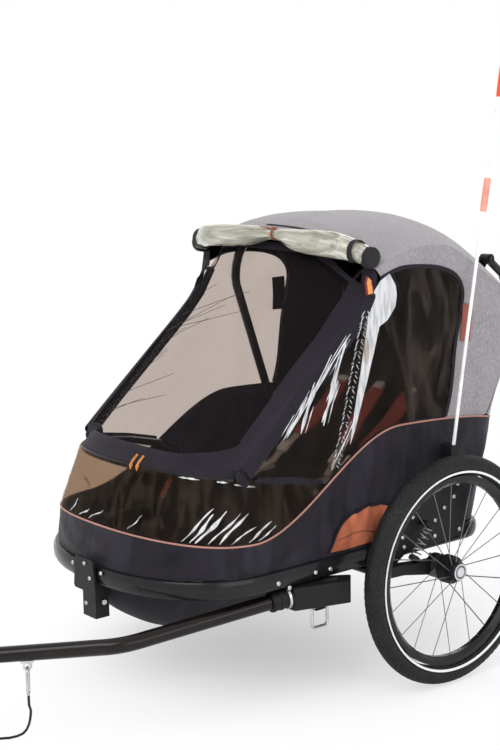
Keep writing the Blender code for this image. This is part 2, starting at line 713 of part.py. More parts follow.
def build_brake_pedal():
    x, z = PEDAL_PIVOT
    bm = bmesh.new()
    outline = [(x + 0.008 * math.cos(a), z + 0.008 * math.sin(a)) for a in
               [math.radians(d) for d in range(-100, 101, 25)]]
    outline += [(x - 0.030, z + 0.013), (x - PEDAL_LENGTH, z + 0.004), (x - PEDAL_LENGTH - 0.004, z - 0.002),
                (x - PEDAL_LENGTH, z - 0.005), (x - 0.030, z + 0.003)]
    plate(bm, outline, -PEDAL_HALF_WIDTH, PEDAL_HALF_WIDTH, "XZ")
    pedal = add("brake_pedal", bm, "plastic_black", "brake_pedal")
    bm = bmesh.new()
    rod(bm, (x, -0.05, z), (x, 0.05, z), PEDAL_PIN + SLIP)
    combine(pedal, bm)
    bm = bmesh.new()
    block(bm, (x - PEDAL_LENGTH - 0.006, -PEDAL_HALF_WIDTH - 0.012, z - 0.008),
          (x - PEDAL_LENGTH + 0.016, PEDAL_HALF_WIDTH + 0.012, z + 0.003), 0.004)
    combine(pedal, bm, "UNION")


def build_hinge_brackets():
    """A cheek inside each side of the hoop carries the pivots of both cabin hoops."""
    for side, s in SIDES:
        bm = bmesh.new()
        low = HOOP_Z + HOOP_TUBE_H + SEAT_GAP
        fx, fz = FRONT_PIVOT
        rx, rz = REAR_PIVOT
        outline = rounded([(rx - 0.022, low), (fx + 0.022, low), (fx + 0.014, fz + 0.014), (rx - 0.014, rz + 0.014)],
                          0.010)
        plate(bm, outline, s * HINGE_CHEEK_Y, s * (HINGE_CHEEK_Y + BRACKET_THICK), "XZ")
        bracket = add(f"hinge_bracket_{side}", bm, "frame_black")
        bm = bmesh.new()
        block(bm, (rx + 0.012, min(s * HINGE_CHEEK_Y, s * HINGE_FOOT_Y), low - HINGE_FOOT_DROP),
              (fx + 0.020, max(s * HINGE_CHEEK_Y, s * HINGE_FOOT_Y), low + 0.004), 0.0015)
        combine(bracket, bm, "UNION")
        for (x, z), inner in ((FRONT_PIVOT, FRONT_HOOP_Y - UPPER_TUBE - SLIP), (REAR_PIVOT, REAR_HOOP_Y - UPPER_TUBE - SLIP)):
            bm = bmesh.new()
            rod(bm, (x, s * (HINGE_CHEEK_Y + 0.002), z), (x, s * (inner - 0.002), z), PIVOT_PIN)
            combine(bracket, bm, "UNION")
            bm = bmesh.new()
            rod(bm, (x, s * inner, z), (x, s * (inner - 0.004), z), PIVOT_PIN + 0.004)
            combine(bracket, bm, "UNION")


def hoop_tube(name, pivot, half_width, shoulder, crown, look="frame_black", on=None):
    """An inverted U of round tube with a flat eye at each foot."""
    bm = bmesh.new()
    px, pz = pivot
    sx, sz = shoulder
    cx, cz = crown
    lean = Vector((sx - px, 0, sz - pz)).normalized()
    foot = Vector((px, 0, pz)) + lean * 0.010
    left = [Vector((foot.x, half_width, foot.z)), Vector((sx, half_width, sz))]
    corner = Vector((sx + (cx - sx) * 0.25, half_width * 0.90, sz + (cz - sz) * 0.55))
    points = [left[0], left[0].lerp(left[1], 0.5), left[1]]
    for k in range(1, 9):
        t = k / 8
        angle = math.pi / 2 * t
        points.append(Vector((sx + (cx - sx) * math.sin(angle), half_width * math.cos(angle) ** 0.62,
                              sz + (cz - sz) * math.sin(angle) ** 1.2)))
    points[-1].y = 0.0
    points += [Vector((p.x, -p.y, p.z)) for p in reversed(points[:-1])]
    sweep(bm, points, circle(UPPER_TUBE, 8))
    hoop = add(name, bm, look, on)
    for s in (1, -1):
        bm = bmesh.new()
        rod(bm, (px, s * (half_width - UPPER_TUBE), pz), (px, s * (half_width + UPPER_TUBE), pz), EYE_RADIUS, 16)
        combine(hoop, bm, "UNION")
        bm = bmesh.new()
        rod(bm, (px, s * (half_width - 0.03), pz), (px, s * (half_width + 0.03), pz), PIVOT_PIN + SLIP)
        combine(hoop, bm)
    return hoop


def build_side_plate(side, s):
    """The pressed plate outside the hoop: it carries the arm's pin, the spring's upper seat and its bolts."""
    outer = PLATE_INNER_Y + PLATE_THICK
    outline = rounded([(-0.125, 0.292), (-0.030, 0.286), (0.060, 0.284), (ARM_PIVOT_X - 0.020, AXLE_TUBE_Z - 0.022),
                       (ARM_PIVOT_X + 0.020, AXLE_TUBE_Z - 0.020), (ARM_PIVOT_X + 0.026, AXLE_TUBE_Z + 0.030),
                       (0.135, 0.372), (0.060, 0.398), (-0.060, 0.440), (-0.105, 0.430)], 0.016)
    bm = bmesh.new()
    plate(bm, outline, s * PLATE_INNER_Y, s * outer, "XZ")
    made = add(f"side_plate_{side}", bm, "plastic_black")
    bm = bmesh.new()
    turned(bm, [(outer - 0.002, 0.0), (outer - 0.002, 0.013), (ARM_INNER_Y - SLIP, 0.013), (ARM_INNER_Y - SLIP, ARM_PIN_RADIUS),
                (ARM_OUTER_Y + SLIP, ARM_PIN_RADIUS), (ARM_OUTER_Y + SLIP, 0.012), (ARM_OUTER_Y + 0.004, 0.012),
                (ARM_OUTER_Y + 0.005, 0.0)], (ARM_PIVOT_X, 0, AXLE_TUBE_Z), "Y", 16, s)
    combine(made, bm, "UNION")
    bm = bmesh.new()
    x, z = SPRING_TOP
    up = Vector((SPRING_TOP[0] - SPRING_FOOT[0], 0, SPRING_TOP[1] - SPRING_FOOT[1])).normalized()
    lift = SPRING_WIRE + SEAT_GAP
    low = Vector((x, s * SPRING_Y, z)) + up * lift
    rod(bm, low, low + up * 0.005, SPRING_RADIUS + SPRING_WIRE, 16)
    combine(made, bm, "UNION")
    bm = bmesh.new()
    block(bm, (low.x - 0.008, min(s * (outer - 0.002), s * SPRING_Y), low.z + 0.0042),
          (low.x + 0.006, max(s * (outer - 0.002), s * SPRING_Y), low.z + 0.0130), 0.002)
    combine(made, bm, "UNION")


def build_arm(side, s):
    """The trailing arm: an eye on the pin, a bowed beam, and a round carrier with the wheel's axle."""
    group = f"arm_{side}"
    px, pz = ARM_PIVOT_X, AXLE_TUBE_Z
    bm = bmesh.new()
    h = ARM_HALF_HEIGHT
    outline = [(px, pz + h), (px - 0.050, pz + h - 0.003), (0.025, WHEEL_Z + 0.013), (0.0, WHEEL_Z + 0.012),
               (0.0, WHEEL_Z - 0.018), (0.025, WHEEL_Z - 0.016), (px - 0.050, pz - h - 0.002), (px, pz - h)]
    plate(bm, outline, s * (ARM_INNER_Y + 0.003), s * (ARM_OUTER_Y - 0.0005), "XZ")
    arm = add(f"trailing_arm_{side}", bm, "plastic_black", group)
    bm = bmesh.new()
    rod(bm, (px, s * ARM_INNER_Y, pz), (px, s * ARM_OUTER_Y, pz), ARM_EYE_RADIUS, 16)
    combine(arm, bm, "UNION")
    bm = bmesh.new()
    turned(bm, [(ARM_OUTER_Y - 0.012, 0.0), (ARM_OUTER_Y - 0.012, CARRIER_RADIUS), (ARM_OUTER_Y, CARRIER_RADIUS),
                (ARM_OUTER_Y + 0.0005, 0.013), (HUB_INNER_Y - SLIP, 0.013), (HUB_INNER_Y - SLIP, AXLE_RADIUS),
                (AXLE_END_Y, AXLE_RADIUS), (AXLE_END_Y, 0.0)], (0, 0, WHEEL_Z), "Y", 16, s)
    combine(arm, bm, "UNION")
    bm = bmesh.new()
    up = Vector((SPRING_TOP[0] - SPRING_FOOT[0], 0, SPRING_TOP[1] - SPRING_FOOT[1])).normalized()
    high = Vector((SPRING_FOOT[0], s * SPRING_Y, SPRING_FOOT[1])) - up * (SPRING_WIRE + SEAT_GAP)
    rod(bm, high, high - up * 0.009, SPRING_RADIUS + SPRING_WIRE, 16)
    combine(arm, bm, "UNION")
    bm = bmesh.new()
    rod(bm, (px, s * (ARM_INNER_Y - 0.01), pz), (px, s * (ARM_OUTER_Y + 0.01), pz), ARM_PIN_RADIUS + SLIP, 16)
    combine(arm, bm)
    bm = bmesh.new()
    rod(bm, (0, s * (ARM_INNER_Y - 0.01), WHEEL_Z + LOCK_PITCH_RADIUS), (0, s * (ARM_OUTER_Y + 0.01), WHEEL_Z + LOCK_PITCH_RADIUS),
        LOCK_PIN_RADIUS + SLIP, 10)
    combine(arm, bm)


def build_lock_pin(side, s):
    bm = bmesh.new()
    z = WHEEL_Z + LOCK_PITCH_RADIUS
    turned(bm, [(LOCK_PIN_INNER_Y, 0.0), (LOCK_PIN_INNER_Y, 0.0045), (LOCK_PIN_INNER_Y + 0.003, 0.0045),
                (LOCK_PIN_INNER_Y + 0.003, LOCK_PIN_RADIUS), (LOCK_PIN_TIP_Y - 0.001, LOCK_PIN_RADIUS),
                (LOCK_PIN_TIP_Y, LOCK_PIN_RADIUS - 0.001), (LOCK_PIN_TIP_Y, 0.0)], (0, 0, z), "Y", 10, s)
    add(f"brake_pin_{side}", bm, "steel", f"brake_pin_{side}")


def build_spring(side, s):
    """An open coil in one unbroken wire, its end turns closed up."""
    top = Vector((SPRING_TOP[0], s * SPRING_Y, SPRING_TOP[1]))
    foot = Vector((SPRING_FOOT[0], s * SPRING_Y, SPRING_FOOT[1]))
    along = (top - foot).normalized()
    across = along.cross(Vector((0, 1, 0))).normalized()
    other = along.cross(across)
    length = (top - foot).length
    steps = SPRING_TURNS * SPRING_POINTS
    points = []
    for k in range(steps + 1):
        t = k / steps
        angle = 2 * math.pi * SPRING_TURNS * t
        rise = t - 0.35 * math.sin(2 * math.pi * t) / (2 * math.pi)
        points.append(foot + along * (length * rise) + across * (SPRING_RADIUS * math.cos(angle))
                      + other * (SPRING_RADIUS * math.sin(angle)))
    least = min((points[i] - points[j]).length for i in range(len(points))
                for j in range(i + SPRING_POINTS // 2 + 1, len(points)))
    print(f"coil_spring_{side}: least gap between turns {1000 * (least - 2 * SPRING_WIRE):.2f} mm")
    bm = bmesh.new()
    sweep(bm, points, circle(SPRING_WIRE, 5))
    add(f"coil_spring_{side}", bm, "steel", f"arm_{side}")


def build_wheel(side, s):
    group = f"wheel_{side}"
    centre = (0, 0, WHEEL_Z)
    seat = TYRE_RADIUS - TYRE_SECTION * math.cos(math.radians(30))
    tyre = []
    for k in range(7):
        angle = math.radians(-150 + 50 * k)
        tyre.append((WHEEL_Y + TYRE_SECTION * math.sin(angle), TYRE_RADIUS + TYRE_SECTION * math.cos(angle)))
    bm = bmesh.new()
    turned(bm, tyre, centre, "Y", WHEEL_SEGMENTS, s)
    add(f"tyre_{side}", bm, "tyre_rubber", group)
    rim_outer = seat - SEAT_GAP - 0.0003
    w = RIM_HALF_WIDTH
    rim = [(-w, rim_outer), (w, rim_outer), (w, rim_outer - 0.010), (w * 0.45, RIM_INNER), (-w * 0.45, RIM_INNER),
           (-w, rim_outer - 0.010)]
    bm = bmesh.new()
    turned(bm, [(WHEEL_Y + a, r) for a, r in rim], centre, "Y", WHEEL_SEGMENTS, s)
    add(f"rim_{side}", bm, "frame_black", group)
    drum_end = HUB_INNER_Y + 0.022
    bore = AXLE_RADIUS + SLIP
    recess = BUTTON_RADIUS + SLIP
    hub = [(HUB_INNER_Y, bore), (HUB_INNER_Y, HUB_DRUM_RADIUS), (drum_end - 0.003, HUB_DRUM_RADIUS),
           (drum_end, HUB_DRUM_RADIUS - 0.004), (drum_end, 0.0125), (HUB_OUTER_Y - 0.015, 0.0125),
           (HUB_OUTER_Y - 0.014, HUB_FLANGE_RADIUS), (HUB_OUTER_Y - 0.010, HUB_FLANGE_RADIUS),
           (HUB_OUTER_Y - 0.009, 0.0165), (HUB_OUTER_Y - 0.001, 0.0160), (HUB_OUTER_Y, 0.0150),
           (HUB_OUTER_Y, recess), (BUTTON_FLOOR_Y, recess), (BUTTON_FLOOR_Y, bore)]
    bm = bmesh.new()
    turned(bm, hub, centre, "Y", 16, s)
    made = add(f"spoked_hub_{side}", bm, "steel", group)
    bm = bmesh.new()
    for k in range(SPOKES):
        angle = 2 * math.pi * k / SPOKES
        outboard = k % 2 == 0
        lean = SPOKE_LEAN if outboard else -SPOKE_LEAN
        flange_y = HUB_OUTER_Y - 0.012 if outboard else drum_end - 0.004
        flange_r = (HUB_FLANGE_RADIUS if outboard else HUB_DRUM_RADIUS) - 0.003
        rim_y = WHEEL_Y + (0.002 if outboard else -0.002)
        start = Vector((flange_r * math.cos(angle - lean), s * flange_y, WHEEL_Z + flange_r * math.sin(angle - lean)))
        end_r = RIM_INNER - 2 * SEAT_GAP
        end = Vector((end_r * math.cos(angle), s * rim_y, WHEEL_Z + end_r * math.sin(angle)))
        rod(bm, start, end, SPOKE_RADIUS, 4)
    combine(made, bm, "UNION")
    bm = bmesh.new()
    for k in range(LOCK_HOLES):
        angle = math.pi / 2 + 2 * math.pi * k / LOCK_HOLES
        x = LOCK_PITCH_RADIUS * math.cos(angle)
        z = WHEEL_Z + LOCK_PITCH_RADIUS * math.sin(angle)
        rod(bm, (x, s * (HUB_INNER_Y - 0.002), z), (x, s * (HUB_INNER_Y + LOCK_DEPTH), z), LOCK_HOLE_RADIUS, 6)
    combine(made, bm)
    bm = bmesh.new()
    turned(bm, [(BUTTON_IN_Y, 0.0), (BUTTON_IN_Y, BUTTON_RADIUS), (BUTTON_FACE_Y - 0.001, BUTTON_RADIUS),
                (BUTTON_FACE_Y, BUTTON_RADIUS - 0.001), (BUTTON_FACE_Y, 0.0)], centre, "Y", 20, s)
    add(f"hub_button_{side}", bm, "steel", f"hub_button_{side}")


def build_pillar(side, s):
    """One flat front pillar, from its pin on the raised bow up to the roof's front corner."""
    foot = Vector((PILLAR_FOOT[0], s * PILLAR_Y, PILLAR_FOOT[1]))
    bm = bmesh.new()
    path = [Vector((x, s * PILLAR_Y, z)) for x, z in PILLAR_PATH]
    section = oval(PILLAR_WIDTH, PILLAR_THICK, 12, 2.6)
    sweep(bm, path, section, up=(0, 1, 0))
    pillar = add(f"front_pillar_{side}", bm, "lining_cloth", "front_pillars")
    bm = bmesh.new()
    rod(bm, (foot.x, s * (PILLAR_Y - PILLAR_THICK), foot.z), (foot.x, s * (PILLAR_Y + PILLAR_THICK), foot.z), PILLAR_EYE, 18)
    combine(pillar, bm, "UNION")
    bm = bmesh.new()
    rod(bm, (foot.x, s * (PILLAR_Y - 0.03), foot.z), (foot.x, s * (PILLAR_Y + 0.03), foot.z), PIVOT_PIN + SLIP)
    combine(pillar, bm)



def roof_point(station, y):
    """A point on the roof's outer face: its stations are arched from the centre line to the side edge."""
    index = min(int(station), len(ROOF_STATIONS) - 2)
    t = station - index
    low, high = ROOF_STATIONS[index], ROOF_STATIONS[index + 1]
    sx, sz, cx, cz = [a + (b - a) * t for a, b in zip(low, high)]
    w = abs(y / CABIN_HALF_WIDTH) ** ROOF_ARCH
    return Vector((cx + (sx - cx) * w, y, cz + (sz - cz) * w))


def roof_rows():
    """All rows of the roof sheet; the last one stands just above the skirt's rear edge."""
    ys = [CABIN_HALF_WIDTH * math.cos(math.pi * k / ROOF_COLUMNS) for k in range(ROOF_COLUMNS + 1)]
    rows = [[roof_point(k, y) for y in ys] for k in range(len(ROOF_STATIONS))]
    low = []
    for y in ys:
        foot = rear_skirt_top(y)
        low.append(Vector((foot.x, y, foot.z + 2 * PIPING_RADIUS + 4 * SEAT_GAP)))
    return rows + [low]


def rear_skirt_top(y):
    """The skirt's upper edge behind the seats, over a y of the cabin's cloth."""
    across = min(abs(y) * HOOP_HALF_WIDTH / SKIRT_TOP_HALF_WIDTH, HOOP_HALF_WIDTH)
    past = max(0.0, across - (HOOP_HALF_WIDTH - REAR_CORNER))
    plan_x = HOOP_REAR_X + REAR_CORNER - math.sqrt(max(0.0, REAR_CORNER ** 2 - past ** 2))
    return skirt_point(plan_x, across, 1.0)


def build_roof():
    roof = cloth("roof_cover", roof_rows(), "grey_cloth", heart=(-0.05, 0, 0.7))
    x, z = HANDLE_PIVOT
    for s in (1, -1):
        bm = bmesh.new()
        middle = LUG_INNER_Y + LUG_THICK / 2
        half = LUG_THICK / 2 + 0.0012
        block(bm, (x - 0.030, min(s * (middle - half), s * (middle + half)), z - 0.060),
              (x + 0.026, max(s * (middle - half), s * (middle + half)), z + 0.020), 0.002)
        combine(roof, bm)


def bar_height(x):
    """Height of the raised bow's centre line at its side."""
    if x < BAR_STRAIGHT_X:
        start = BAR_FOOT_X + 0.085
        return BAR_SIDE_Z - 0.006 + 0.018 * (x - start) / (BAR_STRAIGHT_X - start)
    s = (x - BAR_STRAIGHT_X) / (BAR_FRONT_X - BAR_STRAIGHT_X)
    return BAR_SIDE_Z + 0.012 + (BAR_NOSE_Z - BAR_SIDE_Z - 0.012) * s


def window_floor(x):
    over_piping = piping_height(x, 0) + 0.001
    over_bar = bar_height(x) + 0.010
    return max(over_piping, over_bar) if x > 0.2 else over_piping


def build_window(side, s):
    steps = 12
    outline = [(x, z) for x, z in WINDOW_TOP]
    for k in range(steps + 1):
        x = WINDOW_REAR_X + (WINDOW_FRONT_X - WINDOW_REAR_X) * k / steps
        outline.append((x, window_floor(x)))
    outline.append((WINDOW_FRONT_X, PILLAR_FOOT[1] + (PILLAR_FOOT[0] - WINDOW_FRONT_X)))
    bm = bmesh.new()
    plate(bm, outline, s * PANEL_OUTER_Y, s * (PANEL_OUTER_Y - PANEL_THICK), "XZ")
    add(f"side_window_{side}", bm, "clear_pvc")


def build_side_panel(side, s):
    """Cloth round the window's top and rear, up to the roof's edge, the rear edge and the piping."""
    seam = 0.0005
    outline = []
    for sx, sz, _, _ in ROOF_STATIONS[:6]:
        outline.append((sx, sz - PANEL_DROP))
    for sx, sz, _, _ in ROOF_STATIONS[6:]:
        outline.append((sx + PANEL_DROP, sz - PANEL_DROP * 0.6))
    corner = rear_skirt_top(CABIN_HALF_WIDTH)
    outline.append((corner.x + PANEL_DROP, corner.z + 0.009))
    for k in range(1, 5):
        x = corner.x + PANEL_DROP + (WINDOW_REAR_X - seam - corner.x - PANEL_DROP) * k / 4
        outline.append((x, corner.z + (window_floor(WINDOW_REAR_X) - corner.z) * (k / 4) ** 0.5))
    for x, z in reversed(WINDOW_TOP):
        outward = (seam if z > 0.86 else 0.0)
        outline.append((x - (seam if z <= 0.87 else 0.0), z + outward))
    bm = bmesh.new()
    plate(bm, outline, s * PANEL_OUTER_Y, s * (PANEL_OUTER_Y - PANEL_THICK), "XZ")
    add(f"side_panel_{side}", bm, "grey_cloth")


def bar_point(y):
    """The raised bow's centre line in front, at a given y."""
    w = min(1.0, abs(y) / BAR_HALF_WIDTH)
    s = (1 - w ** FRONT_POWER) ** (1 / FRONT_POWER)
    return Vector((BAR_STRAIGHT_X + (BAR_FRONT_X - BAR_STRAIGHT_X) * s, y,
                   BAR_SIDE_Z + 0.012 + (BAR_NOSE_Z - BAR_SIDE_Z - 0.012) * s))


def build_net():
    """The insect net over the front opening, from the raised bow up to the roof's hem."""
    half = PILLAR_CHEEK_Y - CHEEK_THICK - 2 * SEAT_GAP
    columns = 12
    rows = []
    for j in range(6):
        t = j / 5
        row = []
        for k in range(columns + 1):
            y = half * math.cos(math.pi * k / columns)
            low = bar_point(y) + Vector((0, 0, BAR_RADIUS + NET_THICK))
            w = abs(y / half) ** 5
            corner = Vector((PILLAR_FOOT[0] - 0.022, y, PILLAR_FOOT[1] + 0.012))
            low = low.lerp(corner, w)
            tuck = 1 - (y / half) ** 2
            high = roof_point(0, y) + Vector((-0.016 * tuck, 0, -0.0035 - 0.022 * tuck))
            high = high.lerp(Vector((PILLAR_HEAD[0] + 0.004, y, PILLAR_HEAD[1] + 0.018)), w)
            row.append(low.lerp(high, t))
        rows.append(row)
    cloth("front_net", rows, "net", thick=NET_THICK, heart=(0.1, 0, 0.5))


def build_lower_window():
    """The clear band round the nose, between the piping and the raised bow."""
    rows = []
    plan = half_plan(HOOP_HALF_WIDTH + SEAT_GAP, HOOP_FRONT_X, HOOP_STRAIGHT_X, HOOP_REAR_X, side_steps=SIDE_STEPS)
    front = [(x, y) for x, y in plan if x > LOWER_WINDOW_FROM_X]
    whole = front + [(x, -y) for x, y in reversed(front[:-1])]
    bar = BAR_RADIUS + PVC_THICK + 4 * SEAT_GAP
    for x, y in whole:
        low = skirt_point(x, y, 1.0) + Vector((0, 0, 2 * PIPING_RADIUS + 3 * SEAT_GAP))
        start = front[0][0]
        bx = start + (BAR_FRONT_X + bar - start) * (x - start) / (HOOP_FRONT_X - start)
        if bx <= BAR_STRAIGHT_X:
            by = BAR_HALF_WIDTH + bar
        else:
            s = min(1.0, (bx - BAR_STRAIGHT_X) / (BAR_FRONT_X + bar - BAR_STRAIGHT_X))
            by = (BAR_HALF_WIDTH + bar) * (1 - s ** FRONT_POWER) ** (1 / FRONT_POWER)
        top = max(bar_height(bx) + 0.001, low.z + 0.004)
        high = Vector((bx, math.copysign(by, y) if abs(y) > 1e-6 else 0.0, top))
        rows.append([low, low.lerp(high, 0.5), high])
    cloth("lower_window", rows, "clear_pvc", thick=PVC_THICK, heart=(0.2, 0, 0.44))


def build_roll():
    """The rain cover, rolled up and strapped under the roof's front hem."""
    points = []
    radii = []
    count = 16
    for k in range(count + 1):
        y = ROLL_HALF_LENGTH * math.cos(math.pi * k / count)
        pinch = math.exp(-(y / 0.05) ** 2)
        end = abs(y) / ROLL_HALF_LENGTH
        radius = ROLL_END_RADIUS - (ROLL_END_RADIUS - ROLL_WAIST_RADIUS) * pinch - 0.002 * (1 - end)
        hem = roof_point(0, max(-CABIN_HALF_WIDTH, min(CABIN_HALF_WIDTH, y)))
        out = Vector((0.95, 0, -0.30)).lerp(Vector((0.34, 0, 0.94)), end).normalized()
        points.append(Vector((hem.x, y, hem.z)) + out * (radius + 3 * SEAT_GAP))
        radii.append(radius)
    bm = bmesh.new()
    rings = []
    for point, radius in zip(points, radii):
        rings.append([point + Vector((a, 0, b)) for a, b in circle(radius, 12)])
    skin(bm, rings)
    add("rain_roll", bm, "clear_pvc")


def leg_point(t):
    """A point on the plane through the rear hoop's legs, t metres up from its pivot."""
    lean = Vector((REAR_HOOP_SHOULDER[0] - REAR_PIVOT[0], 0, REAR_HOOP_SHOULDER[1] - REAR_PIVOT[1])).normalized()
    return Vector((REAR_PIVOT[0], 0, REAR_PIVOT[1])) + lean * t, lean


def build_sling():
    """The black cloth that is stretched between the rear hoop's legs and carries the seats' backs."""
    start, lean = leg_point(0.022)
    front = Vector((lean.z, 0, -lean.x))
    rows = []
    for t in (0.0, 0.5, 1.0):
        here = start + lean * (0.385 * t)
        rows.append([here + Vector((0, SLING_HALF_WIDTH * (1 - 2 * k / 4), 0)) for k in range(5)])
    cloth("back_sling", rows, "lining_cloth", heart=(-0.6, 0, 0.6))


def cushion(name, corner, along, across, normal, length, width, thick, look):
    """A crowned pad with drawn-in sides, built up from a flat base."""
    n = 9
    bm = bmesh.new()
    top = []
    low = []
    for i in range(n + 1):
        u = -math.cos(math.pi * i / n)
        top_row = []
        low_row = []
        for j in range(n + 1):
            v = -math.cos(math.pi * j / n)
            base = corner + along * (length * (u + 1) / 2) + across * (width * v / 2)
            swell = (1 - abs(u) ** 4) * (1 - abs(v) ** 4)
            channel = 1 - 0.10 * math.exp(-(((u + 0.05) / 0.10) ** 2))
            height = thick * (0.45 + 0.55 * swell ** 0.5 * channel)
            draw = 0.985 + 0.015 * swell
            top_row.append(bm.verts.new(base * 1.0 + normal * height))
            low_row.append(bm.verts.new(base))
        top.append(top_row)
        low.append(low_row)
    for i in range(n):
        for j in range(n):
            bm.faces.new((top[i][j], top[i + 1][j], top[i + 1][j + 1], top[i][j + 1]))
            bm.faces.new((low[i][j], low[i][j + 1], low[i + 1][j + 1], low[i + 1][j]))
    for i in range(n):
        bm.faces.new((low[i][0], low[i + 1][0], top[i + 1][0], top[i][0]))
        bm.faces.new((low[i][n], top[i][n], top[i + 1][n], low[i + 1][n]))
        bm.faces.new((low[0][i], top[0][i], top[0][i + 1], low[0][i + 1]))
        bm.faces.new((low[n][i], low[n][i + 1], top[n][i + 1], top[n][i]))
    return add(name, bm, look)


def build_seats(side, s):
    base = Vector((SEAT_REAR_X, s * SEAT_Y, SEAT_TUBE_Z + SEAT_TUBE_RADIUS + SEAT_GAP))
    cushion(f"seat_cushion_{side}", base, Vector((1, 0, 0)), Vector((0, 1, 0)), Vector((0, 0, 1)),
            SEAT_LENGTH, SEAT_WIDTH, SEAT_THICK, "seat_cloth")
    start, lean = leg_point(BACK_START)
    front = Vector((lean.z, 0, -lean.x))
    corner = start + front * (SEAT_GAP * 2) + Vector((0, s * SEAT_Y, 0))
    cushion(f"back_cushion_{side}", corner, lean, Vector((0, 1, 0)), front,
            BACK_LENGTH, SEAT_WIDTH, BACK_THICK, "seat_cloth")


def build_harness(side, s):
    """Two shoulder straps with their pads and a crotch strap, joined at the buckle."""
    bm = bmesh.new()
    buckle = Vector((BUCKLE_X, s * SEAT_Y, BUCKLE_Z))
    block(bm, (buckle.x - 0.020, buckle.y - 0.024, buckle.z - 0.007), (buckle.x + 0.020, buckle.y + 0.024, buckle.z + 0.007),
          0.006, "XY")
    made = add(f"harness_{side}", bm, "webbing")
    start, lean = leg_point(0)
    front = Vector((lean.z, 0, -lean.x))
    for lean_side in (1, -1):
        path = []
        widths = []
        face = BACK_THICK + 0.0045
        for u, width in ((0.400, 0.011), (0.360, 0.011), (0.352, 0.020), (0.270, 0.021), (0.190, 0.020), (0.182, 0.011)):
            here = start + lean * u + front * face
            spread = STRAP_SPREAD * (0.75 + 0.25 * u / 0.4)
            path.append(Vector((here.x, s * SEAT_Y + lean_side * spread, here.z)))
            widths.append(width)
        path.append(Vector((buckle.x - 0.045, buckle.y + lean_side * 0.018, buckle.z + 0.018)))
        widths.append(0.011)
        path.append(Vector((buckle.x - 0.006, buckle.y + lean_side * 0.012, buckle.z)))
        widths.append(0.011)
        along = tangents(path, False)
        rings = []
        for point, tangent, width in zip(path, along, widths):
            flat = Vector((0, 1, 0))
            up = tangent.cross(flat).normalized()
            thick = 0.0038 if width > 0.015 else 0.0013
            rings.append([point + flat * width - up * thick, point + flat * width + up * thick,
                          point - flat * width + up * thick, point - flat * width - up * thick])
        bm = bmesh.new()
        skin(bm, rings)
        combine(made, bm, "UNION")
    bm = bmesh.new()
    seat_top = SEAT_TUBE_Z + SEAT_TUBE_RADIUS + 2 * SEAT_GAP + SEAT_THICK
    path = [buckle, buckle + Vector((0.035, 0, -0.012)), Vector((buckle.x + 0.062, buckle.y, seat_top + 0.0020))]
    sweep(bm, path, [(0.011, -0.0013), (0.011, 0.0013), (-0.011, 0.0013), (-0.011, -0.0013)], up=(0, 0, 1))
    combine(made, bm, "UNION")


def drawbar_axis(x):
    """The straight run of the drawbar that lies in the receiver."""
    direction = (DRAWBAR_BEND_ONE - DRAWBAR_RECEIVER_POINT)
    return DRAWBAR_RECEIVER_POINT + direction * ((x - DRAWBAR_RECEIVER_POINT.x) / direction.x)


def build_receiver():
    """The moulded block under the hoop that the drawbar slides into, with a pointed rear wing and a front collar."""
    direction = (DRAWBAR_BEND_ONE - DRAWBAR_RECEIVER_POINT).normalized()
    rear = drawbar_axis(RECEIVER_REAR_X)
    front = drawbar_axis(RECEIVER_FRONT_X)
    outline = rounded([(RECEIVER_REAR_X, rear.y - 0.004), (RECEIVER_REAR_X + 0.028, rear.y + 0.026),
                       (RECEIVER_FRONT_X, front.y + 0.0225), (RECEIVER_FRONT_X, front.y - 0.0225),
                       (RECEIVER_REAR_X + 0.034, rear.y - 0.026)], 0.006)
    bm = bmesh.new()
    plate(bm, outline, RECEIVER_LOW_Z, RECEIVER_TOP_Z, "XY")
    made = add("drawbar_receiver", bm, "plastic_black")
    bm = bmesh.new()
    start = drawbar_axis(RECEIVER_FRONT_X - 0.010)
    end = drawbar_axis(COLLAR_FRONT_X)
    rod(bm, start, end, BAR_TUBE + 0.0048, 18)
    combine(made, bm, "UNION")
    for x in (RECEIVER_FRONT_X + 0.004, RECEIVER_FRONT_X + 0.020, COLLAR_FRONT_X - 0.005):
        bm = bmesh.new()
        rod(bm, drawbar_axis(x - 0.003), drawbar_axis(x + 0.003), BAR_TUBE + 0.0060, 18)
        combine(made, bm, "UNION")
    bm = bmesh.new()
    x, z = LOOP_PIVOT
    block(bm, (LOOP_X[0] + 0.009, x - 0.0055, z - 0.006), (LOOP_X[1] - 0.009, x + 0.0055, RECEIVER_LOW_Z + 0.003), 0.003, "YZ")
    combine(made, bm, "UNION")
    bm = bmesh.new()
    rod(bm, drawbar_axis(DRAWBAR_IN_X - 0.004), drawbar_axis(COLLAR_FRONT_X + 0.02), BAR_TUBE + RECEIVER_CLEARANCE, 16)
    combine(made, bm)
    bm = bmesh.new()
    rod(bm, (LOOP_X[0] - 0.01, x, z), (LOOP_X[1] + 0.01, x, z), LOOP_WIRE + SLIP, 10)
    combine(made, bm)


def build_release_loop():
    y, z = LOOP_PIVOT
    bm = bmesh.new()
    path = arc_path([(LOOP_X[0], y, z), (LOOP_X[0], y, LOOP_LOW_Z), (LOOP_X[1], y, LOOP_LOW_Z), (LOOP_X[1], y, z)], 0.007, 4)
    path = [Vector(p) for p in path]
    corners = [Vector(p) for p in path]
    sweep(bm, corners, circle(LOOP_WIRE, 8), up=(0, 1, 0))
    loop = add("release_loop", bm, "steel", "release_loop")
    bm = bmesh.new()
    rod(bm, (LOOP_X[0] - LOOP_WIRE, y, z), (LOOP_X[1] + LOOP_WIRE, y, z), LOOP_WIRE, 8)
    combine(loop, bm, "UNION")


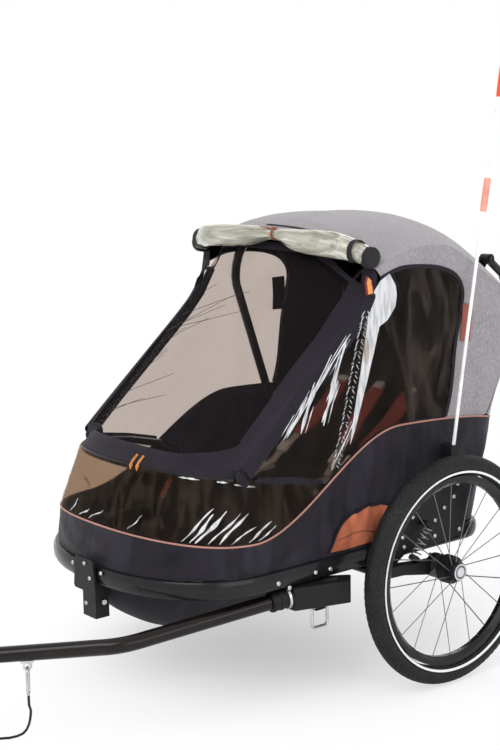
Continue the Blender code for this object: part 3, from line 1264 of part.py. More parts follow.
def build_socket():
    """The bracket on the nose with its upright bore for a front wheel's fork, and the bore's catch button."""
    x0 = HOOP_FRONT_X + HOOP_TUBE_W + SEAT_GAP * 2
    top = RECEIVER_TOP_Z
    outline = [(SOCKET_X - 0.0142, top), (SOCKET_X - 0.0142, SOCKET_LOW_Z), (SOCKET_X + 0.019, SOCKET_LOW_Z),
               (SOCKET_X + 0.019, top - 0.012), (x0 + 0.007, top + 0.004), (x0 + 0.007, HOOP_Z + 0.010), (x0, HOOP_Z + 0.010),
               (x0, top)]
    bm = bmesh.new()
    plate(bm, outline, -SOCKET_HALF_WIDTH, SOCKET_HALF_WIDTH, "XZ")
    made = add("front_socket", bm, "plastic_black")
    bm = bmesh.new()
    wide = rounded([(-SOCKET_PLATE_HALF, top - 0.016), (SOCKET_PLATE_HALF, top - 0.016),
                    (SOCKET_PLATE_HALF * 0.8, HOOP_Z + 0.034), (-SOCKET_PLATE_HALF * 0.8, HOOP_Z + 0.034)], 0.008)
    plate(bm, wide, x0 + 0.0008, x0 + 0.0068, "YZ")
    combine(made, bm, "UNION")
    bm = bmesh.new()
    rod(bm, (SOCKET_X, 0, SOCKET_LOW_Z - 0.01), (SOCKET_X, 0, top - 0.010), SOCKET_BORE, 18)
    combine(made, bm)
    bm = bmesh.new()
    rod(bm, (SOCKET_X, SOCKET_BORE * 0.5, SOCKET_BUTTON_Z), (SOCKET_X, SOCKET_HALF_WIDTH + 0.01, SOCKET_BUTTON_Z), 0.0064, 14)
    combine(made, bm)
    bm = bmesh.new()
    turned(bm, [(SOCKET_BORE + 0.004, 0.0), (SOCKET_BORE + 0.004, 0.006), (SOCKET_HALF_WIDTH + 0.005, 0.006),
                (SOCKET_HALF_WIDTH + 0.006, 0.005), (SOCKET_HALF_WIDTH + 0.006, 0.0)],
           (SOCKET_X, 0, SOCKET_BUTTON_Z), "Y", 14)
    add("socket_button", bm, "steel", "socket_button")


def flag_point(h):
    return FLAG_FOOT + Vector((-FLAG_LEAN * h - FLAG_BOW * h * h, 0, h))


def build_flag():
    low_z = FLAG_FOOT.z - 0.020
    share = (low_z - SKIRT_BOTTOM_Z) / (piping_height(FLAG_FOOT.x, 0) - SKIRT_BOTTOM_Z)
    skirt_y = skirt_point(FLAG_FOOT.x, HOOP_HALF_WIDTH + SEAT_GAP, share).y + SEAT_GAP
    down = Vector((FLAG_LEAN, 0, -1)).normalized()
    bm = bmesh.new()
    block(bm, (FLAG_FOOT.x - 0.012, skirt_y, low_z), (FLAG_FOOT.x + 0.014, FLAG_FOOT.y + 0.009,
                                                                  FLAG_FOOT.z + 0.022), 0.004, "XZ")
    holder = add("flag_holder", bm, "plastic_black")
    bm = bmesh.new()
    rod(bm, FLAG_FOOT + down * (FLAG_BORE_DEPTH - 0.022), FLAG_FOOT - down * 0.06, FLAG_POLE_RADIUS + SLIP, 10)
    combine(holder, bm)
    heights = [-FLAG_BORE_DEPTH + 0.0238, 0.03, 0.15, 0.30, 0.45, FERRULE_LOW - 0.0005, FERRULE_LOW, FERRULE_HIGH,
               FERRULE_HIGH + 0.0005, 0.70, 0.84, FLAG_POLE_HEIGHT]
    bm = bmesh.new()
    rings = []
    for h in heights:
        wide = FERRULE_LOW - 1e-6 <= h <= FERRULE_HIGH + 1e-6
        radius = FERRULE_RADIUS if wide else FLAG_POLE_RADIUS
        here = flag_point(h)
        rings.append([here + Vector((a, b, 0)) for a, b in circle(radius, 10)])
    skin(bm, rings)
    add("flag_pole", bm, "white_rod", "flag_pole")
    low, high = flag_point(FLAG_LOW), flag_point(FLAG_HIGH)
    bm = bmesh.new()
    rings = []
    for h in (FLAG_LOW, (FLAG_LOW + FLAG_HIGH) / 2, FLAG_HIGH):
        here = flag_point(h)
        rings.append([here + Vector((a, b, 0)) for a, b in circle(FLAG_SLEEVE, 10)])
    skin(bm, rings)
    flag = add("flag", bm, "coral_cloth", "flag_pole")
    bm = bmesh.new()
    inset = FLAG_SLEEVE * 0.7
    outline = [(low.x - inset, low.z + 0.004), (high.x - inset, high.z - 0.004),
               ((low.x + high.x) / 2 - FLAG_LENGTH, (low.z + high.z) / 2)]
    plate(bm, outline, FLAG_FOOT.y - 0.001, FLAG_FOOT.y + 0.001, "XZ")
    combine(flag, bm, "UNION")
    bm = bmesh.new()
    rings = []
    for h in (FLAG_LOW - 0.02, (FLAG_LOW + FLAG_HIGH) / 2, FLAG_HIGH + 0.02):
        here = flag_point(h)
        rings.append([here + Vector((a, b, 0)) for a, b in circle(FLAG_POLE_RADIUS + SEAT_GAP, 10)])
    skin(bm, rings)
    combine(flag, bm)


def build_handle():
    """The bowed push handle, hinged on two lugs of the rear hoop and folded down behind the cabin."""
    x, z = HANDLE_PIVOT
    y = HANDLE_HALF_WIDTH
    corners = [(x, y, z), (HANDLE_KNEE[0], y, HANDLE_KNEE[1]), (HANDLE_BACK[0], y, HANDLE_BACK[1]),
               (HANDLE_BAR[0], y, HANDLE_BAR[1]), (HANDLE_BAR[0], -y, HANDLE_BAR[1]),
               (HANDLE_BACK[0], -y, HANDLE_BACK[1]), (HANDLE_KNEE[0], -y, HANDLE_KNEE[1]), (x, -y, z)]
    bm = bmesh.new()
    sweep(bm, arc_path(corners, 0.028, 3), circle(HANDLE_TUBE, 8))
    handle = add("push_handle", bm, "frame_black", "push_handle")
    for s in (1, -1):
        inner = LUG_INNER_Y + LUG_THICK + SLIP
        bm = bmesh.new()
        rod(bm, (x, s * inner, z), (x, s * (y + HANDLE_TUBE), z), HANDLE_EYE, 16)
        combine(handle, bm, "UNION")
        bm = bmesh.new()
        rod(bm, (x, s * (inner - 0.01), z), (x, s * (y + 0.03), z), PIVOT_PIN + SLIP, 12)
        combine(handle, bm)
    bm = bmesh.new()
    turned(bm, [(-HANDLE_GRIP_HALF, HANDLE_TUBE + 2 * SEAT_GAP), (-HANDLE_GRIP_HALF, HANDLE_GRIP - 0.002),
                (-HANDLE_GRIP_HALF + 0.004, HANDLE_GRIP), (HANDLE_GRIP_HALF - 0.004, HANDLE_GRIP),
                (HANDLE_GRIP_HALF, HANDLE_GRIP - 0.002), (HANDLE_GRIP_HALF, HANDLE_TUBE + 2 * SEAT_GAP)],
           (HANDLE_BAR[0], 0, HANDLE_BAR[1]), "Y", 12)
    add("handle_grip", bm, "foam_black", "push_handle")


def add_handle_lugs(hoop):
    """Two flat lugs rise from the rear hoop's shoulders through slots in the roof to the handle's pins."""
    x, z = HANDLE_PIVOT
    foot_x = REAR_HOOP_SHOULDER[0] - 0.008
    foot_z = REAR_HOOP_SHOULDER[1] + 0.058
    for s in (1, -1):
        bm = bmesh.new()
        outline = rounded([(foot_x - 0.008, foot_z - 0.006), (foot_x + 0.012, foot_z - 0.006), (x + 0.011, z + 0.004),
                           (x + 0.004, z + 0.012), (x - 0.011, z + 0.006), (x - 0.012, z - 0.010)], 0.005, 2)
        plate(bm, outline, s * LUG_INNER_Y, s * (LUG_INNER_Y + LUG_THICK), "XZ")
        combine(hoop, bm, "UNION")
        bm = bmesh.new()
        outer = HANDLE_HALF_WIDTH + HANDLE_TUBE + SLIP
        turned(bm, [(LUG_INNER_Y + 0.001, 0.0), (LUG_INNER_Y + 0.001, PIVOT_PIN), (outer, PIVOT_PIN),
                    (outer, PIVOT_PIN + 0.004), (outer + 0.003, PIVOT_PIN + 0.004), (outer + 0.003, 0.0)],
               (x, 0, z), "Y", 12, s)
        combine(hoop, bm, "UNION")


def drawbar_path():
    start = drawbar_axis(DRAWBAR_IN_X)
    end = Vector((DRAWBAR_END_X, 0.0, DRAWBAR_BEND_TWO.z - DRAWBAR_SLOPE * (DRAWBAR_END_X - DRAWBAR_BEND_TWO.x)))
    return [start, DRAWBAR_BEND_ONE.copy(), DRAWBAR_BEND_TWO.copy(), end]


HITCH_PIVOT_Z = (DRAWBAR_BEND_TWO.z - DRAWBAR_SLOPE * (HITCH_PIVOT_X - DRAWBAR_BEND_TWO.x))


def build_drawbar():
    """The swan-necked bar with the fork that holds the hitch."""
    bm = bmesh.new()
    sweep(bm, arc_path(drawbar_path(), DRAWBAR_BEND_RADIUS, 6), circle(BAR_TUBE, 14))
    bar = add("drawbar", bm, "frame_black", "drawbar")
    x, z = HITCH_PIVOT_X, HITCH_PIVOT_Z
    outline = rounded([(DRAWBAR_END_X - 0.008, z + 0.018), (DRAWBAR_END_X - 0.008, z - 0.012),
                       (x + FORK_NOSE, z - FORK_NOSE), (x + FORK_NOSE, z + FORK_NOSE)], 0.010)
    reach = FORK_HALF_GAP + FORK_WALL
    bm = bmesh.new()
    plate(bm, outline, -reach, reach, "XZ")
    combine(bar, bm, "UNION")
    bm = bmesh.new()
    block(bm, (DRAWBAR_END_X + 0.010, -FORK_HALF_GAP, z - 0.04), (x + 0.04, FORK_HALF_GAP, z + 0.04), 0.004)
    combine(bar, bm)
    bm = bmesh.new()
    rod(bm, (x, -reach - 0.003, z), (x, reach + 0.003, z), HITCH_PIN_RADIUS, 12)
    combine(bar, bm, "UNION")
    for s in (1, -1):
        bm = bmesh.new()
        rod(bm, (x, s * (reach - 0.0005), z), (x, s * (reach + 0.004), z), HITCH_PIN_RADIUS + 0.004, 12)
        combine(bar, bm, "UNION")


def build_hitch():
    """The hanging coupling arm: an eye on the fork's pin, a rubber-sleeved neck and a socket for the ball."""
    x, z = HITCH_PIVOT_X, HITCH_PIVOT_Z
    lean = math.tan(HITCH_LEAN)
    half = FORK_HALF_GAP - SLIP

    def centre(h):
        return Vector((x - lean * (z - h), 0, h))
    bm = bmesh.new()
    rings = []
    for h, a, b in ((z - 0.004, 0.0100, half), (0.118, 0.0095, half), (0.112, 0.0150, 0.0150), (0.070, 0.0150, 0.0150),
                    (0.066, 0.0185, 0.0185), (0.006, 0.0185, 0.0185), (0.0, 0.0160, 0.0160)):
        c = centre(h)
        rings.append([c + Vector((p, q, 0)) for p, q in oval(a, b, 16, 2.0)])
    skin(bm, rings)
    arm = add("hitch_arm", bm, "elastomer", "hitch_arm")
    bm = bmesh.new()
    rod(bm, (x, -half, z), (x, half, z), 0.0125, 16)
    combine(arm, bm, "UNION")
    bm = bmesh.new()
    rod(bm, (x, -0.05, z), (x, 0.05, z), HITCH_PIN_RADIUS + SLIP, 12)
    combine(arm, bm)
    bm = bmesh.new()
    rings = []
    for h, radius in ((-0.01, 0.0105), (0.040, 0.0105), (0.046, 0.006)):
        c = centre(h)
        rings.append([c + Vector((p, q, 0)) for p, q in circle(radius, 14)])
    skin(bm, rings)
    combine(arm, bm)
    bm = bmesh.new()
    pin = centre(HITCH_LOCK_Z)
    rod(bm, (pin.x, -0.05, pin.z), (pin.x, 0.05, pin.z), HITCH_LOCK_RADIUS + SLIP, 10)
    combine(arm, bm)
    bm = bmesh.new()
    turned(bm, [(-0.0205, 0.0), (-0.0205, HITCH_LOCK_RADIUS), (0.0190, HITCH_LOCK_RADIUS), (0.0190, 0.0080), (0.0240, 0.0080),
                (0.0250, 0.0070), (0.0250, 0.0)], (pin.x, 0, pin.z), "Y", 12)
    add("hitch_pin", bm, "steel", "hitch_pin")


def ring_point():
    """The drawbar's centre line over the D-ring."""
    along = DRAWBAR_BEND_TWO - DRAWBAR_BEND_ONE
    return DRAWBAR_BEND_ONE + along * ((RING_X - DRAWBAR_BEND_ONE.x) / along.x), along.normalized()


def build_ring():
    """A saddle under the drawbar with a round eye for the strap's hook."""
    centre, along = ring_point()
    flat = Vector((along.x, along.y, 0)).normalized()
    side = flat.cross(Vector((0, 0, 1)))
    top = -(BAR_TUBE + 2 * SEAT_GAP)
    profile = [(-0.013, top), (-0.013, top - 0.0035), (-0.0085, top - 0.005)]
    profile += [(-0.0095 * math.cos(a), top - RING_DROP - 0.0095 * math.sin(a)) for a in
                [math.pi * k / 8 for k in range(9)]]
    profile += [(0.0085, top - 0.005), (0.013, top - 0.0035), (0.013, top)]
    bm = bmesh.new()
    half = RING_PLATE / 2
    rise = along.z / math.hypot(along.x, along.y)
    skin(bm, [[centre + flat * a + side * d + Vector((0, 0, b + a * rise)) for a, b in profile]
              for d in (-half, half)])
    made = add("dring_bracket", bm, "steel", "drawbar")
    bm = bmesh.new()
    eye = centre + Vector((0, 0, top - RING_DROP))
    rod(bm, eye - side * 0.02, eye + side * 0.02, RING_EYE, 14)
    combine(made, bm)
    return eye, flat, side


def build_hook(eye, flat, side):
    """A wire carabiner through the ring's eye, with a hinged gate down one side."""
    r = HOOK_HALF_WIDTH
    low = HOOK_LENGTH - 2 * r
    top = eye + Vector((0, 0, -RING_EYE + HOOK_WIRE + 3 * SEAT_GAP)) - Vector((0, 0, r))
    path = [top + side * r + Vector((0, 0, -0.010))]
    path += [top + side * (r * math.cos(a)) + Vector((0, 0, r * math.sin(a))) for a in
             [math.pi * k / 8 for k in range(9)]]
    path += [top - side * r + Vector((0, 0, -low * 0.5))]
    path += [top - side * (r * math.cos(a)) + Vector((0, 0, -low - r * math.sin(a))) for a in
             [math.pi * k / 8 for k in range(9)]]
    path += [top + side * r + Vector((0, 0, -low + 0.002))]
    bm = bmesh.new()
    sweep(bm, path, circle(HOOK_WIRE, 8), up=tuple(flat))
    add("carabiner", bm, "steel", "drawbar")
    bm = bmesh.new()
    start = top + side * r + Vector((0, 0, -0.010 - SEAT_GAP))
    end = top + side * r + Vector((0, 0, -low + 0.002 + SEAT_GAP))
    swing = (start - end).normalized()
    across = swing.cross(side)
    shape = ((start, HOOK_WIRE), (end + swing * GATE_TIP, HOOK_WIRE), (end, HOOK_WIRE / 6))
    skin(bm, [[point + side * a + across * b for a, b in circle(radius, 8)] for point, radius in shape])
    add("carabiner_gate", bm, "steel", "carabiner_gate")
    return top - Vector((0, 0, low + r + HOOK_WIRE))


def strap_points():
    """The strap's route from under the drawbar's end, down, along the floor and up to the hook."""
    floor = STRAP_RADIUS + SEAT_GAP
    bar_low = DRAWBAR_BEND_TWO.z - DRAWBAR_SLOPE * (STRAP_END_X - DRAWBAR_BEND_TWO.x) - BAR_TUBE - 2 * SEAT_GAP
    centre, _ = ring_point()
    hook = HOOK_FOOT
    keys = [Vector((STRAP_END_X, 0.003, bar_low)), Vector((STRAP_END_X + 0.001, 0.003, bar_low - 0.030)),
            Vector((STRAP_END_X - 0.008, 0.004, 0.060)), Vector((STRAP_END_X - 0.030, 0.004, 0.018)),
            Vector((STRAP_END_X - 0.075, 0.002, floor)), Vector((0.975, 0.000, floor)), Vector((0.920, 0.010, floor)),
            Vector((0.885, 0.028, floor)), Vector((0.862, 0.042, 0.010)), Vector((0.858, 0.060, 0.034)),
            Vector((0.864, 0.080, 0.070)), hook - Vector((0.002, 0.003, 0.022)), hook - Vector((0, 0, 2 * SEAT_GAP))]
    points = []
    for i in range(len(keys) - 1):
        p0, p1 = keys[max(i - 1, 0)], keys[i]
        p2, p3 = keys[i + 1], keys[min(i + 2, len(keys) - 1)]
        steps = max(2, round((p2 - p1).length / 0.0145))
        for k in range(steps):
            t = k / steps
            here = 0.5 * (2 * p1 + (p2 - p0) * t + (2 * p0 - 5 * p1 + 4 * p2 - p3) * t ** 2
                          + (3 * p1 - p0 - 3 * p2 + p3) * t ** 3)
            here.z = max(here.z, floor)
            points.append(here)
    return points + [keys[-1]]


def build_strap():
    curve = bpy.data.curves.new("safety_strap", "CURVE")
    curve.dimensions = "3D"
    curve.bevel_depth = STRAP_RADIUS
    curve.bevel_resolution = 2
    curve.use_fill_caps = True
    pivot = Vector(EMPTIES["drawbar"].location)
    points = strap_points()
    spline = curve.splines.new("POLY")
    spline.points.add(len(points) - 1)
    for point, place in zip(spline.points, points):
        point.co = (*(place - pivot), 1.0)
    length = sum((b - a).length for a, b in zip(points, points[1:]))
    print(f"safety_strap: {len(points)} points, length {length:.4f} m")
    curve.materials.append(MATERIALS["webbing"])
    strap = bpy.data.objects.new("safety_strap", curve)
    bpy.context.collection.objects.link(strap)
    strap.parent = EMPTIES["drawbar"]


BODY_PIVOTS = {
    "front_hoop": (FRONT_PIVOT[0], 0, FRONT_PIVOT[1]),
    "rear_hoop": (REAR_PIVOT[0], 0, REAR_PIVOT[1]),
    "front_pillars": (PILLAR_FOOT[0], 0, PILLAR_FOOT[1]),
    "brake_pedal": (PEDAL_PIVOT[0], 0, PEDAL_PIVOT[1]),
}
BODY_PIVOTS["release_loop"] = ((LOOP_X[0] + LOOP_X[1]) / 2, *LOOP_PIVOT)
BODY_PIVOTS["socket_button"] = (SOCKET_X, SOCKET_HALF_WIDTH, SOCKET_BUTTON_Z)
BODY_PIVOTS["flag_pole"] = tuple(FLAG_FOOT)
BODY_PIVOTS["push_handle"] = (HANDLE_PIVOT[0], 0, HANDLE_PIVOT[1])
BODY_PIVOTS["drawbar"] = tuple(drawbar_axis(DRAWBAR_IN_X))
BODY_PIVOTS["hitch_arm"] = (HITCH_PIVOT_X, 0, HITCH_PIVOT_Z)
BODY_PIVOTS["hitch_pin"] = (HITCH_PIVOT_X - math.tan(HITCH_LEAN) * (HITCH_PIVOT_Z - HITCH_LOCK_Z), 0, HITCH_LOCK_Z)
RING_SPOT, RING_ALONG = ring_point()
RING_FLAT = Vector((RING_ALONG.x, RING_ALONG.y, 0)).normalized()
RING_SIDE = RING_FLAT.cross(Vector((0, 0, 1)))
HOOK_TOP_Z = RING_SPOT.z - BAR_TUBE - 2 * SEAT_GAP - RING_DROP - RING_EYE + HOOK_WIRE + 3 * SEAT_GAP
HOOK_FOOT = Vector((RING_SPOT.x, RING_SPOT.y, HOOK_TOP_Z - HOOK_LENGTH - HOOK_WIRE))
GATE_PIVOT = Vector((RING_SPOT.x, RING_SPOT.y, HOOK_TOP_Z - HOOK_LENGTH + HOOK_HALF_WIDTH + 0.002)) + RING_SIDE * HOOK_HALF_WIDTH
BODY_PIVOTS["carabiner_gate"] = tuple(GATE_PIVOT)
for side, s in SIDES:
    BODY_PIVOTS[f"arm_{side}"] = (ARM_PIVOT_X, s * SPRING_Y, AXLE_TUBE_Z)
    BODY_PIVOTS[f"brake_pin_{side}"] = (0, s * LOCK_PIN_TIP_Y, WHEEL_Z + LOCK_PITCH_RADIUS)
    BODY_PIVOTS[f"wheel_{side}"] = (0, s * WHEEL_Y, WHEEL_Z)
    BODY_PIVOTS[f"hub_button_{side}"] = (0, s * BUTTON_FACE_Y, WHEEL_Z)
for name, pivot in BODY_PIVOTS.items():
    body(name, pivot)

build_chassis_frame()
build_skirt()
build_tub()
build_front_bar()
build_hinge_brackets()
build_brake_pedal()
hoop_tube("front_hoop", FRONT_PIVOT, FRONT_HOOP_Y, FRONT_HOOP_SHOULDER, FRONT_HOOP_CROWN, on="front_hoop")
rear = hoop_tube("rear_hoop", REAR_PIVOT, REAR_HOOP_Y, REAR_HOOP_SHOULDER, REAR_HOOP_CROWN, on="rear_hoop")
add_handle_lugs(rear)
build_handle()
build_roof()
build_net()
build_lower_window()
build_roll()
build_sling()
build_receiver()
build_release_loop()
build_socket()
build_flag()
build_drawbar()
build_hitch()
build_hook(*build_ring())
build_strap()
for side, s in SIDES:
    build_side_plate(side, s)
    build_arm(side, s)
    build_lock_pin(side, s)
    build_spring(side, s)
    build_wheel(side, s)
    build_pillar(side, s)
    build_window(side, s)
    build_side_panel(side, s)
    build_seats(side, s)
    build_harness(side, s)

# Slide the trailer along X so that its box, from the flag's tip to the fork's nose, is centred on the origin
rear_end = (flag_point(FLAG_LOW).x + flag_point(FLAG_HIGH).x) / 2 - FLAG_LENGTH
front_end = HITCH_PIVOT_X + FORK_NOSE
TRAILER.location.x = -(rear_end + front_end) / 2
print(f"trailer shift {TRAILER.location.x:.5f} m")
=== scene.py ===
"""Looks of the child bike trailer: cloth, film, seats, harnesses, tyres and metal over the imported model."""

import math
import random

import bmesh
import bpy
from mathutils import Matrix, Vector
from mathutils.geometry import delaunay_2d_cdt


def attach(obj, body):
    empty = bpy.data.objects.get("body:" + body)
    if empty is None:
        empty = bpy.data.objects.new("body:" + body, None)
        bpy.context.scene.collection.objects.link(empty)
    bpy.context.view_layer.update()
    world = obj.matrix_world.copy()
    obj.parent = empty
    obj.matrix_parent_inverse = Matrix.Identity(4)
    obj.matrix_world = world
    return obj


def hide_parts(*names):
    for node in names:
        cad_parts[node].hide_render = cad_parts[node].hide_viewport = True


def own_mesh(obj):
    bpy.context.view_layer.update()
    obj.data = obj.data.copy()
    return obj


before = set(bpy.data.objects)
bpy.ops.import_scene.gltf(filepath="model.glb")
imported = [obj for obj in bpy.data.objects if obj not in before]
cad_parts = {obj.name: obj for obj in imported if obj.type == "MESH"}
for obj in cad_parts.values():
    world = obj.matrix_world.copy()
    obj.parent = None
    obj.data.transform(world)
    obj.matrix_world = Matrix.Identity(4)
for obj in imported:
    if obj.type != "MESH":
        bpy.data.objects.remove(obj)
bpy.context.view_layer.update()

# The drawing's origin: its x = 0 is the axle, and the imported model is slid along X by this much
SHIFT = -0.35622


def at(x, y, z):
    """A point given in the drawing's coordinates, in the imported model's frame."""
    return Vector((x + SHIFT, y, z))


# Camera, fitted to the photograph's wheel and chassis hoop
CAMERA_PLACE = at(2.287, 2.5225, 1.2249)
CAMERA_YAW = math.radians(-129.20)
CAMERA_PITCH = math.radians(-9.97)
CAMERA_ROLL = math.radians(-0.88)
camera_data = bpy.data.cameras.new("camera")
camera_data.lens = 72
camera_data.sensor_width = 36
camera = bpy.data.objects.new("camera", camera_data)
bpy.context.scene.collection.objects.link(camera)
forward = Vector((math.cos(CAMERA_PITCH) * math.cos(CAMERA_YAW),
                  math.cos(CAMERA_PITCH) * math.sin(CAMERA_YAW),
                  math.sin(CAMERA_PITCH)))
level = forward.cross(Vector((0, 0, 1))).normalized()
upward = level.cross(forward)
right = level * math.cos(CAMERA_ROLL) + upward * math.sin(CAMERA_ROLL)
above = upward * math.cos(CAMERA_ROLL) - level * math.sin(CAMERA_ROLL)
camera.matrix_world = Matrix((
    (right.x, above.x, -forward.x, CAMERA_PLACE.x),
    (right.y, above.y, -forward.y, CAMERA_PLACE.y),
    (right.z, above.z, -forward.z, CAMERA_PLACE.z),
    (0, 0, 0, 1)))
bpy.context.scene.camera = camera
bpy.context.scene.view_settings.view_transform = "Standard"


def through(points, t):
    """A smooth curve through points, t from 0 to 1 by their count."""
    last = len(points) - 1
    spot = min(last - 1e-9, max(0.0, t * last))
    i = int(spot)
    f = spot - i
    a, b = points[max(i - 1, 0)], points[i]
    c, d = points[i + 1], points[min(i + 2, last)]
    out = []
    for p, q, r, s in zip(a, b, c, d):
        bend = (2 * p - 5 * q + 4 * r - s) * f * f
        out.append(0.5 * (2 * q + (r - p) * f + bend + (3 * q - p - 3 * r + s) * f ** 3))
    return out


# Safety strap: a nylon lanyard from the drawbar's end, down to the floor and back up to the snap hook
STRAP_RADIUS = 0.0026
STRAP_FLOOR = STRAP_RADIUS + 0.0003
BAR_LOW = 0.15755
HOOK_FOOT = (0.8770, 0.0961, 0.1103)
STRAP_KEYS = (
    (1.100, 0.003, BAR_LOW), (1.101, 0.003, BAR_LOW - 0.030), (1.092, 0.004, 0.060), (1.070, 0.004, 0.018),
    (1.025, 0.002, STRAP_FLOOR), (0.975, 0.000, STRAP_FLOOR), (0.920, 0.010, STRAP_FLOOR),
    (0.885, 0.028, STRAP_FLOOR), (0.862, 0.042, 0.010), (0.858, 0.060, 0.034), (0.864, 0.080, 0.070),
    (HOOK_FOOT[0] - 0.002, HOOK_FOOT[1] - 0.003, HOOK_FOOT[2] - 0.022),
    (HOOK_FOOT[0], HOOK_FOOT[1], HOOK_FOOT[2] - 0.0006))
strap_route = []
for index in range(len(STRAP_KEYS) - 1):
    gap = Vector(STRAP_KEYS[index + 1]) - Vector(STRAP_KEYS[index])
    pieces_of_gap = max(2, round(gap.length / 0.0145))
    for k in range(pieces_of_gap):
        x, y, z = through(STRAP_KEYS, (index + k / pieces_of_gap) / (len(STRAP_KEYS) - 1))
        strap_route.append(at(x, y, max(z, STRAP_FLOOR)))
strap_route.append(at(*STRAP_KEYS[-1]))
strap_curve = bpy.data.curves.new("safety_strap_cord", "CURVE")
strap_curve.dimensions = "3D"
strap_curve.bevel_depth = 1.0
strap_curve.bevel_resolution = 3
strap_curve.use_fill_caps = True
spline = strap_curve.splines.new("POLY")
spline.points.add(len(strap_route) - 1)
for point, place in zip(spline.points, strap_route):
    point.co = (*place, 1.0)
    point.radius = STRAP_RADIUS
strap = bpy.data.objects.new("safety_strap_cord", strap_curve)
bpy.context.scene.collection.objects.link(strap)
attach(strap, "drawbar")
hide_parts("safety_strap")


# Node helpers
WHITE = (1, 1, 1, 1)


def fill(tree, node, sockets):
    """Sets a node's sockets by name or number, and links those whose value is another node's output."""
    for name, value in sockets.items():
        socket = node.inputs[name if isinstance(name, int) else name.replace("_", " ")]
        if isinstance(value, bpy.types.NodeSocket):
            tree.links.new(value, socket)
        else:
            socket.default_value = value
    return node


def add(tree, kind, **sockets):
    return fill(tree, tree.nodes.new("ShaderNode" + kind), sockets)


def maths(tree, operation, a, b=0.0, clamp=False):
    node = tree.nodes.new("ShaderNodeMath")
    node.operation = operation
    node.use_clamp = clamp
    return fill(tree, node, {0: a, 1: b}).outputs[0]


class Shade:
    """One procedural material, built node by node round a Principled shader."""

    def __init__(self, name, colour, roughness=0.5, metallic=0.0):
        self.material = bpy.data.materials.new(name)
        self.material.use_nodes = True
        self.tree = self.material.node_tree
        self.shader = self.tree.nodes["Principled BSDF"]
        self.set(Base_Color=(*colour, 1.0), Roughness=roughness, Metallic=metallic)
        self.place = self.add("TexCoord").outputs["Object"]

    def add(self, kind, **sockets):
        return add(self.tree, kind, **sockets)

    def set(self, **sockets):
        fill(self.tree, self.shader, sockets)
        return self

    def scaled(self, stretch):
        return self.add("Mapping", Vector=self.place, Scale=stretch).outputs["Vector"]

    def noise(self, scale, detail=3.0, stretch=(1, 1, 1), distortion=0.0):
        return self.add("TexNoise", Vector=self.scaled(stretch), Scale=scale, Detail=detail,
                        Distortion=distortion).outputs["Fac"]

    def wave(self, scale, axis="X", distortion=0.0):
        node = self.add("TexWave", Vector=self.scaled((1, 1, 1)), Scale=scale, Distortion=distortion)
        node.bands_direction = axis
        return node.outputs["Fac"]

    def cells(self, scale):
        return self.add("TexVoronoi", Vector=self.scaled((1, 1, 1)), Scale=scale).outputs["Distance"]

    def maths(self, operation, a, b=0.0, clamp=False):
        return maths(self.tree, operation, a, b, clamp)

    def ramp(self, fac, *stops):
        node = self.add("ValToRGB", Fac=fac)
        ramp = node.color_ramp
        while len(ramp.elements) < len(stops):
            ramp.elements.new(0.5)
        for element, (spot, colour) in zip(ramp.elements, stops):
            element.position = spot
            element.color = (*colour, 1.0)
        return node.outputs["Color"]

    def blend(self, fac, a, b):
        node = self.add("Mix")
        node.data_type = "RGBA"
        fill(self.tree, node, {0: fac, 6: (*a, 1.0) if isinstance(a, tuple) else a, 7: (*b, 1.0)})
        return node.outputs[2]

    def colour(self, source):
        return self.set(Base_Color=source)

    def rough(self, fac, low, high):
        return self.set(Roughness=self.add("MapRange", Value=fac, To_Min=low, To_Max=high).outputs[0])

    def bump(self, fac, distance, strength=0.6):
        before = self.shader.inputs["Normal"].links
        over = {"Normal": before[0].from_socket} if before else {}
        node = self.add("Bump", Height=fac, Distance=distance, Strength=strength, **over)
        return self.set(Normal=node.outputs["Normal"])


def tinted(colour, by):
    return tuple(min(1.0, c * by) for c in colour)


def fabric(name, colour, weave=900, variation=0.18, roughness=0.9, sheen=0.06, fold=0.0, fleck=None,
           specular=0.16):
    """Woven cloth: crossed threads in bump and colour, a soft larger variation, and, if asked for, folds in
    bump with a painted highlight that lightens their crests.
    """
    s = Shade(name, colour, roughness)
    threads = s.maths("MAXIMUM", s.wave(weave, "X", 0.6), s.wave(weave, "Z", 0.6))
    patch = s.noise(14, 4)
    fine = s.noise(420, 2, (1, 1, 0.35))
    mixed = s.ramp(patch, (0.3, tinted(colour, 1 - variation)), (0.7, tinted(colour, 1 + variation)))
    if fleck:
        mixed = s.blend(s.ramp(fine, (0.45, (0, 0, 0)), (0.72, (1, 1, 1))), mixed, fleck)
    # Painted highlight: where the drape noise is high the colour is lightened as if the folds' crests caught
    # the light; the skirt, foot tub, coral and flag cloths ask for it.
    if fold:
        drape = s.noise(11, 2, (1.6, 1, 0.5), 0.7)
        painted_fold_highlight = s.ramp(drape, (0.50, (0, 0, 0)), (0.68, (0.9, 0.9, 0.9)))
        mixed = s.blend(painted_fold_highlight, mixed, tinted(colour, 3.0 * variation + 1.0))
    mixed = s.blend(s.ramp(threads, (0.0, (0.4, 0.4, 0.4)), (0.55, (0, 0, 0))), mixed, tinted(colour, 0.72))
    s.colour(mixed).rough(patch, roughness - 0.06, min(1.0, roughness + 0.06))
    s.bump(threads, 0.00012, 0.4)
    if fold:
        s.bump(drape, fold, 0.8)
    s.set(Sheen_Weight=sheen, Sheen_Roughness=0.45, Specular_IOR_Level=specular)
    return s.material


def metal_paint(name, colour=(0.012, 0.012, 0.014), roughness=0.24):
    """Black powder coat: a slight orange-peel bump under a clear gloss, with thin dust."""
    s = Shade(name, colour, roughness)
    peel = s.noise(520, 2)
    dust = s.noise(16, 4)
    s.colour(s.ramp(dust, (0.35, colour), (0.75, tinted(colour, 1.9))))
    s.rough(dust, roughness - 0.05, roughness + 0.12)
    s.bump(peel, 0.00012, 0.25)
    s.set(Coat_Weight=0.16, Coat_Roughness=0.06, Specular_IOR_Level=0.17)
    return s.material


